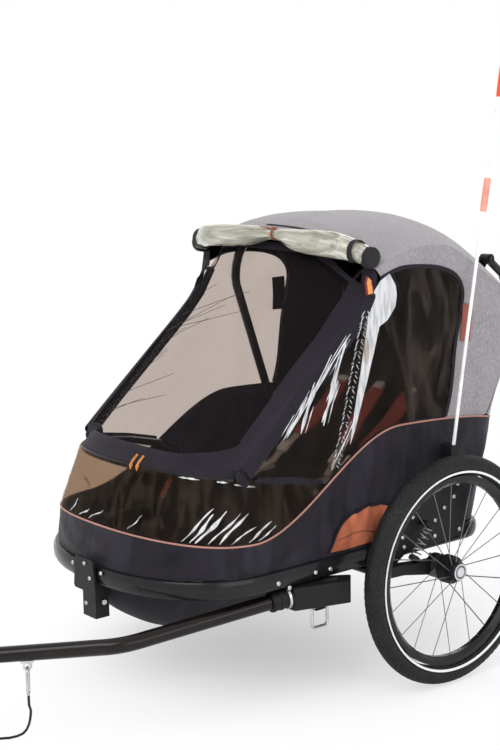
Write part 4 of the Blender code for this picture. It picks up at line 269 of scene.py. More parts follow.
def moulded(name, colour=(0.0075, 0.0070, 0.0080), roughness=0.46, grain=1400):
    """Moulded plastic with a fine spark-eroded grain."""
    s = Shade(name, colour, roughness)
    fine = s.cells(grain)
    wide = s.noise(22, 3)
    s.colour(s.ramp(wide, (0.3, tinted(colour, 0.85)), (0.75, tinted(colour, 1.35))))
    s.rough(wide, roughness - 0.08, roughness + 0.1)
    s.bump(fine, 0.00010, 0.3)
    s.set(Specular_IOR_Level=0.22)
    return s.material


def bare_metal(name, colour=(0.60, 0.61, 0.63), roughness=0.26):
    """Zinc-plated steel with faint streaks and tarnish."""
    s = Shade(name, colour, roughness, 1.0)
    streak = s.noise(260, 3)
    stain = s.noise(30, 3)
    s.colour(s.ramp(stain, (0.3, tinted(colour, 0.78)), (0.7, tinted(colour, 1.1))))
    s.rough(streak, roughness - 0.06, roughness + 0.16)
    s.bump(streak, 0.00006, 0.3)
    return s.material


def rubber(name, colour, roughness, knobs=0.0):
    """Matt rubber or foam with a fine grain and dust; knobs is the height of small raised crowns, whose tops
    get a painted highlight and the gaps between them painted shade.
    """
    s = Shade(name, colour, roughness)
    dust = s.noise(24, 4)
    if knobs:
        crowns = s.cells(260)
        s.bump(crowns, knobs, 0.9)
        # Painted light: the dust tone is raised on the knobs' crowns as a painted highlight and lowered
        # between them as painted shade.
        dust = s.maths("MULTIPLY", dust, s.ramp(crowns, (0.15, (1.5, 1.5, 1.5)), (0.55, (0.35, 0.35, 0.35))))
    fine = s.noise(900, 2)
    s.colour(s.ramp(dust, (0.35, colour), (0.8, tinted(colour, 4.0 if knobs else 1.9))))
    s.rough(dust, roughness - 0.06, roughness + 0.12)
    s.bump(fine, 0.00015, 0.4)
    s.set(Specular_IOR_Level=0.22)
    return s.material


def webbing_cloth(name, colour):
    """Narrow woven tape with slanting ribs."""
    s = Shade(name, colour, 0.82)
    ribs = s.wave(1500, "DIAGONAL", 0.3)
    patch = s.noise(40, 3)
    s.colour(s.blend(ribs, tinted(colour, 0.7), tinted(colour, 1.15)))
    s.rough(patch, 0.72, 0.92)
    s.bump(ribs, 0.0002, 0.6)
    s.set(Sheen_Weight=0.05, Specular_IOR_Level=0.25)
    return s.material


HAZE_FRONT_X = SHIFT + 0.050
HAZE_REAR_X = SHIFT + 0.020
FILM_ROUGHNESS = 0.28


def clear_film(name, colour=(0.80, 0.685, 0.615), ripple=0.0025, scale=26, stretch=(1, 1, 0.25), haze=0.020,
               whole=False, mottle=(22, 4, (1, 1, 0.45), 1.2)):
    """Tinted clear PVC: light passes through and takes its colour, with a wavy gloss and a mottled haze.

    The haze gathers behind the front hoop, or all over where the film is wrapped round the nose."""
    s = Shade(name, colour, FILM_ROUGHNESS)
    waves = s.noise(scale, 3, stretch, 0.6)
    mottle = s.ramp(s.noise(*mottle), (0.44, (0.12, 0.12, 0.12)), (0.60, (1, 1, 1)))
    if not whole:
        along = s.add("SeparateXYZ", Vector=s.place).outputs["X"]
        rear = s.add("MapRange", Value=along, From_Min=HAZE_FRONT_X, From_Max=HAZE_REAR_X, To_Min=0.12)
        rear.interpolation_type = "SMOOTHSTEP"
        mottle = s.maths("MULTIPLY", mottle, rear.outputs[0])
    clear = s.maths("SUBTRACT", 0.997, s.maths("MULTIPLY", mottle, haze))
    s.bump(waves, ripple, 0.3)
    s.set(Transmission_Weight=clear, IOR=1.01, Coat_Weight=0.05, Coat_Roughness=FILM_ROUGHNESS)
    return s.material


def painted_glare_film(name, colour=(0.60, 0.61, 0.63)):
    """An opaque whitish fold of film whose pale colour is a painted reflection of the lamps' glare on the
    creased clear film, dulled in fine streaks.
    """
    s = Shade(name, colour, 0.18)
    fine = s.noise(120, 2, (1, 1, 0.15))
    s.colour(s.ramp(fine, (0.34, tinted(colour, 0.62)), (0.58, colour)))
    s.bump(fine, 0.0006, 0.4)
    s.set(Coat_Weight=0.4)
    return s.material


def insect_net(name, colour=(0.020, 0.016, 0.018), cover=0.20, pitch=0.0035):
    """Fine dark mesh: its threads hide a share of what lies behind, a little more along its slow folds."""
    s = Shade(name, colour, 0.9)
    grid = s.maths("MAXIMUM", s.wave(1 / pitch / 3.1416, "Y"), s.wave(1 / pitch / 3.1416, "Z"))
    fold = s.noise(9, 2, (0.6, 1, 0.35), 0.3)
    share = s.maths("ADD", s.maths("MULTIPLY", grid, 0.06), cover - 0.06)
    share = s.maths("ADD", share, s.maths("MULTIPLY", fold, 0.08), True)
    s.bump(grid, 0.0002, 0.3)
    s.set(Alpha=share, Specular_IOR_Level=0.1)
    return s.material


def rolled_film(name, colour=(0.34, 0.33, 0.27)):
    """Clear sheet rolled up many turns: cloudy, with long glossy creases that run along the roll, the palest
    of them painted highlights.
    """
    s = Shade(name, colour, 0.16)
    bands = s.noise(34, 3, (1.6, 0.22, 1.6), 0.9)
    fine = s.noise(120, 2, (1, 0.3, 1))
    # Painted highlight: the ramp's palest stops paint near-white glints along the creases.
    mixed = s.ramp(bands, (0.30, tinted(colour, 0.62)), (0.48, colour), (0.60, tinted(colour, 1.45)),
                   (0.72, (0.80, 0.79, 0.74)))
    s.colour(mixed).rough(fine, 0.08, 0.26)
    s.bump(bands, 0.004, 0.7).bump(fine, 0.0008, 0.3)
    s.set(Coat_Weight=0.6, Coat_Roughness=0.05, Transmission_Weight=0.12)
    return s.material


LOOK = {
    "frame_black": metal_paint("powder_coat", (0.007, 0.007, 0.008), 0.20),
    "bar_black": metal_paint("powder_coat_bar", (0.006, 0.0042, 0.0036), 0.16),
    "plastic_black": moulded("moulded_plastic"),
    "steel": bare_metal("zinc_steel"),
    "spoke_steel": bare_metal("spoke_steel", (0.16, 0.16, 0.17), 0.34),
    "spring_steel": bare_metal("spring_steel", (0.34, 0.34, 0.35), 0.30),
    "rim_black": metal_paint("rim_anodised", (0.006, 0.006, 0.0065), 0.22),
    "tyre_rubber": rubber("tyre_rubber", (0.0085, 0.0085, 0.009), 0.60, 0.0014),
    "reflective": fabric("reflective_stripe", (0.78, 0.79, 0.80), 1200, 0.05, 0.45, 0.0),
    "skirt_cloth": fabric("skirt_cloth", (0.0085, 0.0068, 0.0115), 800, 0.45, 0.56, 0.06, 0.008,
                          specular=0.20),
    "tub_cloth": fabric("tub_cloth", (0.012, 0.010, 0.014), 800, 0.22, 0.85, 0.05, 0.003),
    "hem_grey": fabric("hem_piping", (0.17, 0.165, 0.175), 1600, 0.1, 0.7, 0.2),
    "grey_cloth": fabric("melange_cloth", (0.255, 0.240, 0.256), 620, 0.12, 0.9, 0.15, 0.0,
                         (0.37, 0.355, 0.37)),
    "lining_cloth": fabric("lining_cloth", (0.007, 0.0065, 0.008), 900, 0.2, 0.9, 0.02, specular=0.08),
    "border_cloth": fabric("border_cloth", (0.014, 0.011, 0.018), 1100, 0.18, 0.75, 0.08),
    "piping": fabric("piping_cord", (0.40, 0.20, 0.165), 1800, 0.10, 0.7, 0.1),
    "coral_cloth": fabric("coral_cloth", (0.325, 0.096, 0.048), 900, 0.32, 0.80, 0.06, 0.004),
    "tab_coral": fabric("tab_coral", (0.30, 0.095, 0.065), 900, 0.14, 0.85, 0.06),
    "pad_red": fabric("shoulder_pad", (0.165, 0.030, 0.021), 800, 0.15, 0.9, 0.1),
    "tab_orange": fabric("tab_orange", (0.72, 0.28, 0.08), 1600, 0.1, 0.7, 0.2),
    "flag_cloth": fabric("flag_cloth", (0.75, 0.07, 0.02), 900, 0.1, 0.7, 0.3, 0.002),
    "ferrule": moulded("ferrule_plastic", (0.66, 0.27, 0.20), 0.4),
    "white_rod": moulded("glass_fibre_rod", (0.80, 0.80, 0.82), 0.35, 600),
    "seat_cloth": fabric("seat_cloth", (0.010, 0.0095, 0.010), 700, 0.2, 0.92, 0.03, specular=0.08),
    "webbing": webbing_cloth("grey_webbing", (0.19, 0.178, 0.162)),
    "strap_black": webbing_cloth("black_webbing", (0.016, 0.015, 0.017)),
    "foam_black": rubber("grip_foam", (0.012, 0.012, 0.012), 0.92),
    "elastomer": rubber("moulded_rubber", (0.012, 0.012, 0.012), 0.7),
    "buckle": moulded("buckle_grey", (0.27, 0.255, 0.24), 0.42, 900),
    "net": insect_net("insect_net"),
    "film": clear_film("window_film"),
    "nose_film": clear_film("nose_film", (0.54, 0.43, 0.345), 0.004, 30, (1, 1, 0.5), 0.022, True,
                            (20, 4, (2.2, 2.2, 0.5), 0.8)),
    # The crease look is a painted reflection: whitish glare laid on the clear film's creases.
    "crease": painted_glare_film("painted_glare_film"),
    "roll_film": rolled_film("rolled_film"),
}

NODE_LOOKS = {
    "frame_black": "chassis_frame front_bar front_hoop rear_hoop hinge_bracket_left hinge_bracket_right "
                   "push_handle",
    "bar_black": "drawbar",
    "rim_black": "rim_left rim_right",
    "plastic_black": "brake_pedal side_plate_left side_plate_right trailing_arm_left trailing_arm_right "
                     "drawbar_receiver front_socket flag_holder",
    "steel": "brake_pin_left brake_pin_right hub_button_left hub_button_right "
             "release_loop socket_button hitch_pin dring_bracket carabiner carabiner_gate",
    "spoke_steel": "spoked_hub_left spoked_hub_right",
    "spring_steel": "coil_spring_left coil_spring_right",
    "tyre_rubber": "tyre_left tyre_right",
    "skirt_cloth": "skirt",
    "tub_cloth": "footwell_tub",
    "piping": "skirt_piping",
    "grey_cloth": "roof_cover side_panel_left side_panel_right",
    "lining_cloth": "front_pillar_left front_pillar_right back_sling",
    "net": "front_net",
    "film": "side_window_left side_window_right lower_window",
    "roll_film": "rain_roll",
    "seat_cloth": "seat_cushion_left seat_cushion_right back_cushion_left back_cushion_right",
    "webbing": "harness_left harness_right",
    "strap_black": "safety_strap",
    "white_rod": "flag_pole",
    "flag_cloth": "flag",
    "foam_black": "handle_grip",
    "elastomer": "hitch_arm",
}
SOFT_ANGLE = math.radians(38)


def soften(mesh):
    """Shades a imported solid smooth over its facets, and keeps every edge sharper than SOFT_ANGLE."""
    mesh.shade_smooth()
    around = {}
    for face in mesh.polygons:
        for vertex in face.vertices:
            key = tuple(round(c, 6) for c in mesh.vertices[vertex].co)
            around.setdefault(key, []).append((face.normal.copy(), face.area))
    limit = math.cos(SOFT_ANGLE)
    normals = []
    for face in mesh.polygons:
        for vertex in face.vertices:
            total = Vector((0, 0, 0))
            for normal, area in around[tuple(round(c, 6) for c in mesh.vertices[vertex].co)]:
                if normal.dot(face.normal) > limit:
                    total += normal * area
            normals.append(total.normalized() if total.length > 0 else face.normal.copy())
    mesh.normals_split_custom_set(normals)


for look, names in NODE_LOOKS.items():
    for name in names.split():
        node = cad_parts[name]
        node.data.materials.clear()
        node.data.materials.append(LOOK[look])
        soften(node.data)

strap.data.materials.append(LOOK["strap_black"])

# The drawing's sizes that the cloth follows, in metres
HOOP_HALF_WIDTH = 0.300
HOOP_STRAIGHT_X = 0.418
HOOP_FRONT_X = 0.659
HOOP_REAR_X = -0.195
FRONT_POWER = 2.33
REAR_CORNER = 0.055
REAR_LEAN = 0.29
SKIRT_BOTTOM_Z = 0.3133
SKIRT_TOP_HALF_WIDTH = 0.2945
PIPING_RADIUS = 0.0025
PIPING_SIDE_Z = 0.558
PIPING_LOW_Z = 0.374
PIPING_NOSE_Z = 0.392
PIPING_HIGH_X = 0.06
PIPING_LOW_X = 0.47
SKIRT_REAR_TOP_Z = 0.530
BAR_RADIUS = 0.009
BAR_HALF_WIDTH = 0.277
BAR_FRONT_X = 0.592
BAR_STRAIGHT_X = 0.36
BAR_NOSE_Z = 0.518
BAR_SIDE_Z = 0.470
BAR_FOOT_X = 0.20
CABIN_HALF_WIDTH = 0.2925
PANEL_Y = 0.2919
PILLAR_Y = 0.2695
PILLAR_PATH = ((0.470, 0.522), (0.418, 0.569), (0.305, 0.668), (0.195, 0.765), (0.155, 0.808),
               (0.122, 0.862))
ROOF_STATIONS = (
    (0.128, 0.900, 0.182, 0.968),
    (0.060, 0.926, 0.125, 0.990),
    (-0.010, 0.938, 0.055, 0.999),
    (-0.075, 0.936, -0.030, 0.999),
    (-0.125, 0.918, -0.130, 0.993),
    (-0.190, 0.877, -0.235, 0.957),
    (-0.260, 0.833, -0.325, 0.890),
    (-0.308, 0.797, -0.372, 0.842),
    (-0.318, 0.765, -0.385, 0.798),
    (-0.296, 0.705, -0.358, 0.735),
    (-0.264, 0.630, -0.318, 0.645),
)
WINDOW_TOP = ((0.112, 0.880), (0.055, 0.896), (-0.010, 0.895), (-0.066, 0.887), (-0.112, 0.868),
              (-0.135, 0.833), (-0.128, 0.780), (-0.114, 0.720), (-0.100, 0.615), (-0.084, 0.560))
ALL_SIDES = (("left", 1), ("right", -1))
seeded = random.Random(7)


def V(x, y, z):
    return Vector((x, y, z))


def smooth_step(t):
    t = min(1.0, max(0.0, t))
    return t * t * (3 - 2 * t)


def placed(name, data):
    obj = bpy.data.objects.new(name, data)
    bpy.context.scene.collection.objects.link(obj)
    return obj


def mesh_from(name, bm):
    mesh = bpy.data.meshes.new(name)
    bm.to_mesh(mesh)
    bm.free()
    return mesh


def finished(name, bm, look, body="chassis", replaces=(), smooth=50):
    """Turns a bmesh in the drawing's coordinates into a named piece that rides on one body."""
    bmesh.ops.recalc_face_normals(bm, faces=bm.faces)
    mesh = mesh_from(name, bm)
    mesh.transform(Matrix.Translation((SHIFT, 0, 0)))
    mesh.materials.append(LOOK[look])
    mesh.shade_smooth()
    mesh.set_sharp_from_angle(angle=math.radians(smooth))
    obj = placed(name, mesh)
    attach(obj, body)
    if replaces:
        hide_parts(*replaces)
    return obj


def folds(obj):
    """Gives the piece its own copy of its mesh."""
    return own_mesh(obj)


def skin(bm, rings, loop=False, around=True, ends=False):
    """Joins rows of vertices with faces.

    loop joins the last row to the first, around closes each row on itself, ends fills the first and last."""
    count = len(rings[0])
    for i in range(len(rings) if loop else len(rings) - 1):
        a, b = rings[i], rings[(i + 1) % len(rings)]
        for j in range(count if around else count - 1):
            k = (j + 1) % count
            bm.faces.new((a[j], a[k], b[k], b[j]))
    if ends:
        bm.faces.new(rings[0])
        bm.faces.new(rings[-1])
    return bm


def grid_mesh(rows, loop=False):
    bm = bmesh.new()
    return skin(bm, [[bm.verts.new(p) for p in row] for row in rows], loop, around=False)


def thickened(bm, thick, heart):
    """Gives a sheet its thickness on the side that faces a point inside the cabin."""
    bmesh.ops.recalc_face_normals(bm, faces=bm.faces)
    bm.normal_update()
    centre = Vector(heart)
    if sum(f.normal.dot(f.calc_center_median() - centre) * f.calc_area() for f in bm.faces) < 0:
        bmesh.ops.reverse_faces(bm, faces=bm.faces)
    bm.normal_update()
    faces = list(bm.faces)
    edges = [e for e in bm.edges if e.is_boundary]
    inner = {v: bm.verts.new(v.co - v.normal * thick) for v in list(bm.verts)}
    for edge in edges:
        a, b = edge.verts
        bm.faces.new((a, b, inner[b], inner[a]))
    for face in faces:
        bm.faces.new([inner[v] for v in reversed(face.verts)])
    return bm


def sheet(name, rows, look, thick=0.0012, heart=(0, 0, 0.6), loop=False, fold=True, **more):
    bm = thickened(grid_mesh(rows, loop), thick, heart)
    obj = finished(name, bm, look, **more)
    return folds(obj) if fold else obj


def circle(radius, count):
    return [(radius * math.cos(2 * math.pi * k / count), radius * math.sin(2 * math.pi * k / count))
            for k in range(count)]


def flat_section(half, thick):
    """The section of a tape: half its width by half its thickness."""
    return [(half, -thick), (half, thick), (-half, thick), (-half, -thick)]


def tube(bm, points, section, up=None, loop=False):
    """Sweeps a section along points; up fixes its second axis."""
    points = [Vector(p) for p in points]
    n = len(points)
    rings = []
    side = None
    for i, point in enumerate(points):
        before = points[(i - 1) % n] if loop or i else point
        after = points[(i + 1) % n] if loop or i < n - 1 else point
        along = (after - before).normalized()
        if up is not None:
            side = along.cross(Vector(up)).normalized()
        elif side is None:
            side = along.cross(V(0, 0, 1) if abs(along.z) < 0.9 else V(1, 0, 0)).normalized()
        else:
            side = (side - along * side.dot(along)).normalized()
        other = side.cross(along)
        shape = section[i] if isinstance(section[0][0], (tuple, list)) else section
        rings.append([bm.verts.new(point + side * a + other * b) for a, b in shape])
    return skin(bm, rings, loop, ends=not loop)


def tube_piece(name, points, section, look, up=None, loop=False, fold=True, **more):
    """A piece made of one swept section."""
    obj = finished(name, tube(bmesh.new(), points, section, up, loop), look, **more)
    return folds(obj) if fold else obj


def revolve(bm, profile, centre, steps, sign):
    """Turns (along Y, radius) pairs about the wheel's axis line through centre."""
    centre = Vector(centre)
    rings = []
    for k in range(steps):
        angle = 2 * math.pi * k / steps
        rings.append([bm.verts.new(centre + V(r * math.cos(angle), sign * a, r * math.sin(angle)))
                      for a, r in profile])
    return skin(bm, rings, loop=True)


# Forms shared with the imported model
def half_plan(half_width, front_x, straight_x, rear_x, corner, front_steps, side_steps):
    points = [(rear_x, 0.0), (rear_x, (half_width - corner) * 0.33), (rear_x, (half_width - corner) * 0.67)]
    for k in range(9):
        angle = math.pi / 2 * k / 8
        points.append((rear_x + corner - corner * math.cos(angle),
                       half_width - corner + corner * math.sin(angle)))
    start = rear_x + corner
    for k in range(1, side_steps + 1):
        points.append((start + (straight_x - start) * k / side_steps, half_width))
    for k in range(1, front_steps + 1):
        angle = math.pi / 2 * k / front_steps
        points.append((straight_x + (front_x - straight_x) * math.sin(angle) ** (2 / FRONT_POWER),
                       half_width * max(0.0, math.cos(angle)) ** (2 / FRONT_POWER)))
    return points


def whole_plan(half_width, front_x, straight_x, rear_x, corner=REAR_CORNER, front_steps=26, side_steps=44):
    left = half_plan(half_width, front_x, straight_x, rear_x, corner, front_steps, side_steps)
    return left + [(x, -y) for x, y in reversed(left[1:-1])]


def piping_height(x):
    if x > PIPING_LOW_X:
        nose = (x - PIPING_LOW_X) / (HOOP_FRONT_X - PIPING_LOW_X)
        return PIPING_LOW_Z + (PIPING_NOSE_Z - PIPING_LOW_Z) * nose ** 2
    rise = smooth_step((PIPING_LOW_X - x) / (PIPING_LOW_X - PIPING_HIGH_X))
    high = PIPING_SIDE_Z
    if x < PIPING_HIGH_X:
        back = (PIPING_HIGH_X - x) / (PIPING_HIGH_X - HOOP_REAR_X)
        high += (SKIRT_REAR_TOP_Z - PIPING_SIDE_Z) * min(1.0, back) ** 2
    return PIPING_LOW_Z + (high - PIPING_LOW_Z) * rise


def skirt_point(x, y, t):
    z = SKIRT_BOTTOM_Z + (piping_height(x) - SKIRT_BOTTOM_Z) * t
    rise = (z - SKIRT_BOTTOM_Z) / (PIPING_SIDE_Z - SKIRT_BOTTOM_Z)
    front = smooth_step((x - HOOP_STRAIGHT_X) / (HOOP_FRONT_X - HOOP_STRAIGHT_X))
    rear = smooth_step((0.05 - x) / 0.20)
    return V(x - front * 0.030 * rise - rear * REAR_LEAN * (z - SKIRT_BOTTOM_Z),
             y * (1 + (SKIRT_TOP_HALF_WIDTH / HOOP_HALF_WIDTH - 1) * rise), z)


def roof_point(station, y):
    """A point on the roof, by station from its front hem to its back and across it."""
    sx, sz, cx, cz = through(ROOF_STATIONS, station / (len(ROOF_STATIONS) - 1))
    w = abs(y / CABIN_HALF_WIDTH) ** 2.4
    return V(cx + (sx - cx) * w, y, cz + (sz - cz) * w)


def bar_height(x):
    if x < BAR_STRAIGHT_X:
        start = BAR_FOOT_X + 0.085
        return BAR_SIDE_Z - 0.006 + 0.018 * (x - start) / (BAR_STRAIGHT_X - start)
    s = (x - BAR_STRAIGHT_X) / (BAR_FRONT_X - BAR_STRAIGHT_X)
    return BAR_SIDE_Z + 0.012 + (BAR_NOSE_Z - BAR_SIDE_Z - 0.012) * s


def bar_point(y):
    """A point on the bow's middle line, across the trailer."""
    w = min(1.0, abs(y) / BAR_HALF_WIDTH)
    s = (1 - w ** FRONT_POWER) ** (1 / FRONT_POWER)
    x = BAR_STRAIGHT_X + (BAR_FRONT_X - BAR_STRAIGHT_X) * s
    return V(x, y, bar_height(min(x, BAR_FRONT_X)))


def window_floor(x):
    over_piping = piping_height(x) + 0.001
    return max(over_piping, bar_height(x) + 0.010) if x > 0.2 else over_piping


def curved(points, count):
    return [tuple(through(points, k / count)) for k in range(count + 1)]


def curved_line(points, count):
    return [Vector(p) for p in curved(points, count)]


# Skirt and its piping
skirt_plan = whole_plan(HOOP_HALF_WIDTH + 0.0003, HOOP_FRONT_X, HOOP_STRAIGHT_X, HOOP_REAR_X)
SKIRT_ROWS = 10


def skirt_cloth(x, y, t):
    """The skirt with its soft upright folds, slack in the middle and taut at both edges."""
    p = skirt_point(x, y, t)
    along = x * 23 + 1.7 * math.sin(9 * x) + (3 if y > 0 else 0)
    lean = 5.5 * (t - 0.5)
    crease = math.exp(-6 * (math.sin(along * 1.15 + 0.8 * lean) - 0.55) ** 2)
    waves = 0.0026 * math.sin(along * 2.3 + lean) + 0.0022 * math.sin(along * 5.1 + 1.6 * lean)
    slack = math.sin(math.pi * t) ** 0.7 * (waves + 0.0022 * crease)
    outward = V(max(0.0, x - 0.42) * 2.4, math.copysign(1.0, y) if abs(y) > 0.05 else 0.0, 0)
    if outward.length < 1e-6:
        outward = V(1, 0, 0) if x > 0 else V(-1, 0, 0)
    return p + outward.normalized() * slack


skirt_rows = [[skirt_cloth(x, y, t / SKIRT_ROWS) for t in range(SKIRT_ROWS + 1)] for x, y in skirt_plan]
sheet("skirt_cloth", skirt_rows, "skirt_cloth", heart=(0.2, 0, 0.4), loop=True, fold=False,
      replaces=["skirt"])
tube_piece("skirt_piping_cord", [skirt_point(x, y, 1.0) + V(0, 0, 0.0021) for x, y in skirt_plan],
           circle(0.0020, 10), "piping", (0, 0, 1), loop=True, fold=False, replaces=["skirt_piping"])


def inward(x, y, by):
    """Steps from the skirt's outline towards the inside, for what is sewn behind it."""
    nose = max(0.0, x - 0.42) * 3.0
    back = 1.0 if x < HOOP_REAR_X + 0.02 else 0.0
    out = V(nose - back, y / HOOP_HALF_WIDTH, 0)
    return out.normalized() * -by if out.length > 1e-6 else V(0, 0, 0)


facing_rows = []
for x, y in skirt_plan:
    top = skirt_point(x, y, 1.0)
    low = skirt_point(x, y, 0.93)
    facing_rows.append([low + inward(x, y, 0.0042), top + inward(x, y, 0.0040) + V(0, 0, 0.002),
                        top + inward(x, y, 0.0034) + V(0, 0, 0.0070)])
sheet("skirt_facing", facing_rows, "border_cloth", thick=0.0008, heart=(0.2, 0, 0.4), loop=True, fold=False)

# Foot tub
tub_rows = []
RIM_Z = 0.2727
TUB_FLOOR_Z = 0.170
for lip_z in (0.298, 0.285):
    lip = whole_plan(0.2869, 0.6459, HOOP_STRAIGHT_X, 0.195, 0.03, 18, 12)
    tub_rows.append([V(x, y, lip_z) for x, y in lip])
for k in range(15):
    t = k / 14
    ease = 0.30 * t + 0.70 * t ** 3
    half_width = 0.2715 + (0.150 - 0.2715) * t ** 0.7
    front = 0.633 + (0.555 - 0.633) * ease
    rear = 0.195 + 0.055 * ease
    straight = rear + 0.55 * (front - rear)
    z = RIM_Z - (RIM_Z - TUB_FLOOR_Z) * t
    ring = []
    for index, (x, y) in enumerate(whole_plan(half_width, front, straight, rear, 0.03, 18, 12)):
        wobble = 0.0016 * math.sin(math.pi * t) * math.sin(index * 0.83 + 3 * t)
        ring.append(V(x, y + math.copysign(wobble, y) if abs(y) > 0.02 else y, z))
    tub_rows.append(ring)
tub_rows = [row + [row[0]] for row in tub_rows]
bm = grid_mesh(tub_rows)
bmesh.ops.remove_doubles(bm, verts=bm.verts, dist=1e-6)
floor_ring = [v for v in bm.verts if abs(v.co.z - TUB_FLOOR_Z) < 1e-5]
floor_edges = [e for e in bm.edges if e.verts[0] in floor_ring and e.verts[1] in floor_ring]
bmesh.ops.contextual_create(bm, geom=floor_edges)
thickened(bm, 0.0018, (0.42, 0, 0.30))
tub = finished("foot_tub_cloth", bm, "tub_cloth", replaces=["footwell_tub"])

# Floor under the seats and the apron in front of them
FLOOR_CLOTH_Z = 0.3115


def floor_cloth(i, k):
    sag = 0.002 * math.sin(math.pi * i / 12) * math.sin(math.pi * k / 20)
    return V(-0.176 + 0.372 * i / 12, 0.2850 * (1 - 2 * k / 20), FLOOR_CLOTH_Z - sag)


floor_rows = [[floor_cloth(i, k) for k in range(21)] for i in range(13)]
sheet("cabin_floor_cloth", floor_rows, "tub_cloth", heart=(0, 0, 0.6), fold=False)
apron_line = ((0.160, 0.352), (0.169, 0.343), (0.176, 0.328), (0.188, 0.316), (0.1985, 0.3095),
              (0.1985, 0.299))
apron_rows = [[V(x, 0.2172 * (1 - 2 * k / 20), z) for k in range(21)] for x, z in curved(apron_line, 14)]
sheet("seat_apron", apron_rows, "tub_cloth", heart=(0, 0, 0.3), fold=False)

# Roof, with its lining
ROOF_ROWS = 44
ROOF_COLUMNS = 40


def rear_top(y):
    across = min(abs(y) * HOOP_HALF_WIDTH / SKIRT_TOP_HALF_WIDTH, HOOP_HALF_WIDTH)
    past = max(0.0, across - (HOOP_HALF_WIDTH - REAR_CORNER))
    plan_x = HOOP_REAR_X + REAR_CORNER - math.sqrt(max(0.0, REAR_CORNER ** 2 - past ** 2))
    return skirt_point(plan_x, across, 1.0)


def roof_cloth(k, y):
    """The roof's sheet: k counts the stations, and past the last it runs down to the skirt's rear edge."""
    last = len(ROOF_STATIONS) - 1
    if k <= last:
        p = roof_point(k, y)
    else:
        foot = rear_top(y)
        p = roof_point(last, y).lerp(V(foot.x, y, foot.z + 0.0062), k - last)
    edge = 1 - (y / CABIN_HALF_WIDTH) ** 6
    slack = 0.0022 * math.sin(k * 2.1 + 5 * y) * math.sin(9 * y + 0.8 * k)
    slack += 0.0012 * math.sin(17 * y + 3.1 * k)
    return p - V(0, 0, max(0.0, slack)) * edge


roof_ys = [CABIN_HALF_WIDTH * math.cos(math.pi * k / ROOF_COLUMNS) for k in range(ROOF_COLUMNS + 1)]
roof_rows = [[roof_cloth(len(ROOF_STATIONS) * i / ROOF_ROWS, y) for y in roof_ys]
             for i in range(ROOF_ROWS + 1)]
roof = finished("roof_cloth", thickened(grid_mesh(roof_rows), 0.0014, (-0.05, 0, 0.7)), "grey_cloth",
                replaces=["roof_cover"])
# Two slots in its back let the frame's lugs through
SLOT_SIZE = (0.056, 0.0074, 0.080)
SLOT_X = -0.320
SLOT_Y = 0.1865
SLOT_Z = 0.862
for s in (1, -1):
    slot_bm = bmesh.new()
    bmesh.ops.create_cube(slot_bm, size=1.0)
    bmesh.ops.scale(slot_bm, vec=SLOT_SIZE, verts=slot_bm.verts)
    bmesh.ops.translate(slot_bm, vec=at(SLOT_X, s * SLOT_Y, SLOT_Z), verts=slot_bm.verts)
    cutter = placed("lug_slot", mesh_from("lug_slot", slot_bm))
    cut = roof.modifiers.new("slot", "BOOLEAN")
    cut.operation = "DIFFERENCE"
    cut.solver = "EXACT"
    cut.object = cutter
    bpy.context.view_layer.objects.active = roof
    roof.select_set(True)
    bpy.ops.object.modifier_apply(modifier="slot")
    bpy.data.objects.remove(cutter, do_unlink=True)
folds(roof)
lining_rows = [[roof_cloth(len(ROOF_STATIONS) * (0.02 + 0.93 * i / 24), y * 0.985) + V(0.0025, 0, -0.0036)
                for y in roof_ys[::2]] for i in range(25)]
sheet("roof_lining", lining_rows, "lining_cloth", thick=0.0006, heart=(-0.05, 0, 0.7))

# Hem of the roof: a grey piping, and a black zip tape behind it
hem = [roof_cloth(0, y) + V(0.0015, 0, 0.0012) for y in roof_ys]
tube_piece("roof_hem_piping", hem, circle(0.0026, 8), "hem_grey")
zip_line = [roof_cloth(0.55, y) + V(0, 0, 0.0012) for y in roof_ys[4:22]]
tube_piece("roof_zip_tape", zip_line, flat_section(0.0042, 0.0006), "strap_black", (0, 0, 1))


def spread_panel(outline, spacing):
    """Fills an outline in the XZ plane with an even field of triangles."""
    ring = []
    for a, b in zip(outline, outline[1:] + outline[:1]):
        a, b = Vector(a), Vector(b)
        steps = max(1, round((b - a).length / spacing))
        ring += [a.lerp(b, k / steps) for k in range(steps)]
    low = [min(p[i] for p in ring) for i in (0, 1)]
    high = [max(p[i] for p in ring) for i in (0, 1)]

    def inside(x, z):
        hit = False
        for (ax, az), (bx, bz) in zip(ring, ring[1:] + ring[:1]):
            if (az > z) != (bz > z) and x < ax + (bx - ax) * (z - az) / (bz - az):
                hit = not hit
        return hit

    field = []
    row = 0
    z = low[1] + spacing * 0.5
    while z < high[1]:
        x = low[0] + spacing * (0.5 if row % 2 else 1.0)
        while x < high[0]:
            if inside(x, z) and min((Vector((x, z)) - p).length for p in ring) > spacing * 0.55:
                field.append(Vector((x, z)))
            x += spacing
        z += spacing * 0.866
        row += 1
    edges = [(k, (k + 1) % len(ring)) for k in range(len(ring))]
    verts, _, faces, _, _, _ = delaunay_2d_cdt(ring + field, edges, [], 1, 1e-6)
    return verts, faces


def side_sheet(name, outline, y, s, look, shape, thick=0.0009, spacing=0.008, heart=(0, 0, 0.65), fold=True,
               **more):
    """A sheet on the trailer's side: an outline in x and z, at y plus the shape there, on side s."""
    verts, faces = spread_panel(outline, spacing)
    bm = bmesh.new()
    made = [bm.verts.new(V(p.x, s * (y + shape(p.x, p.y)), p.y)) for p in verts]
    for face in faces:
        bm.faces.new([made[i] for i in face])
    area = sum(f.calc_area() for f in bm.faces)
    thickened(bm, thick, heart)
    obj = finished(name, bm, look, **more)
    return folds(obj) if fold else obj


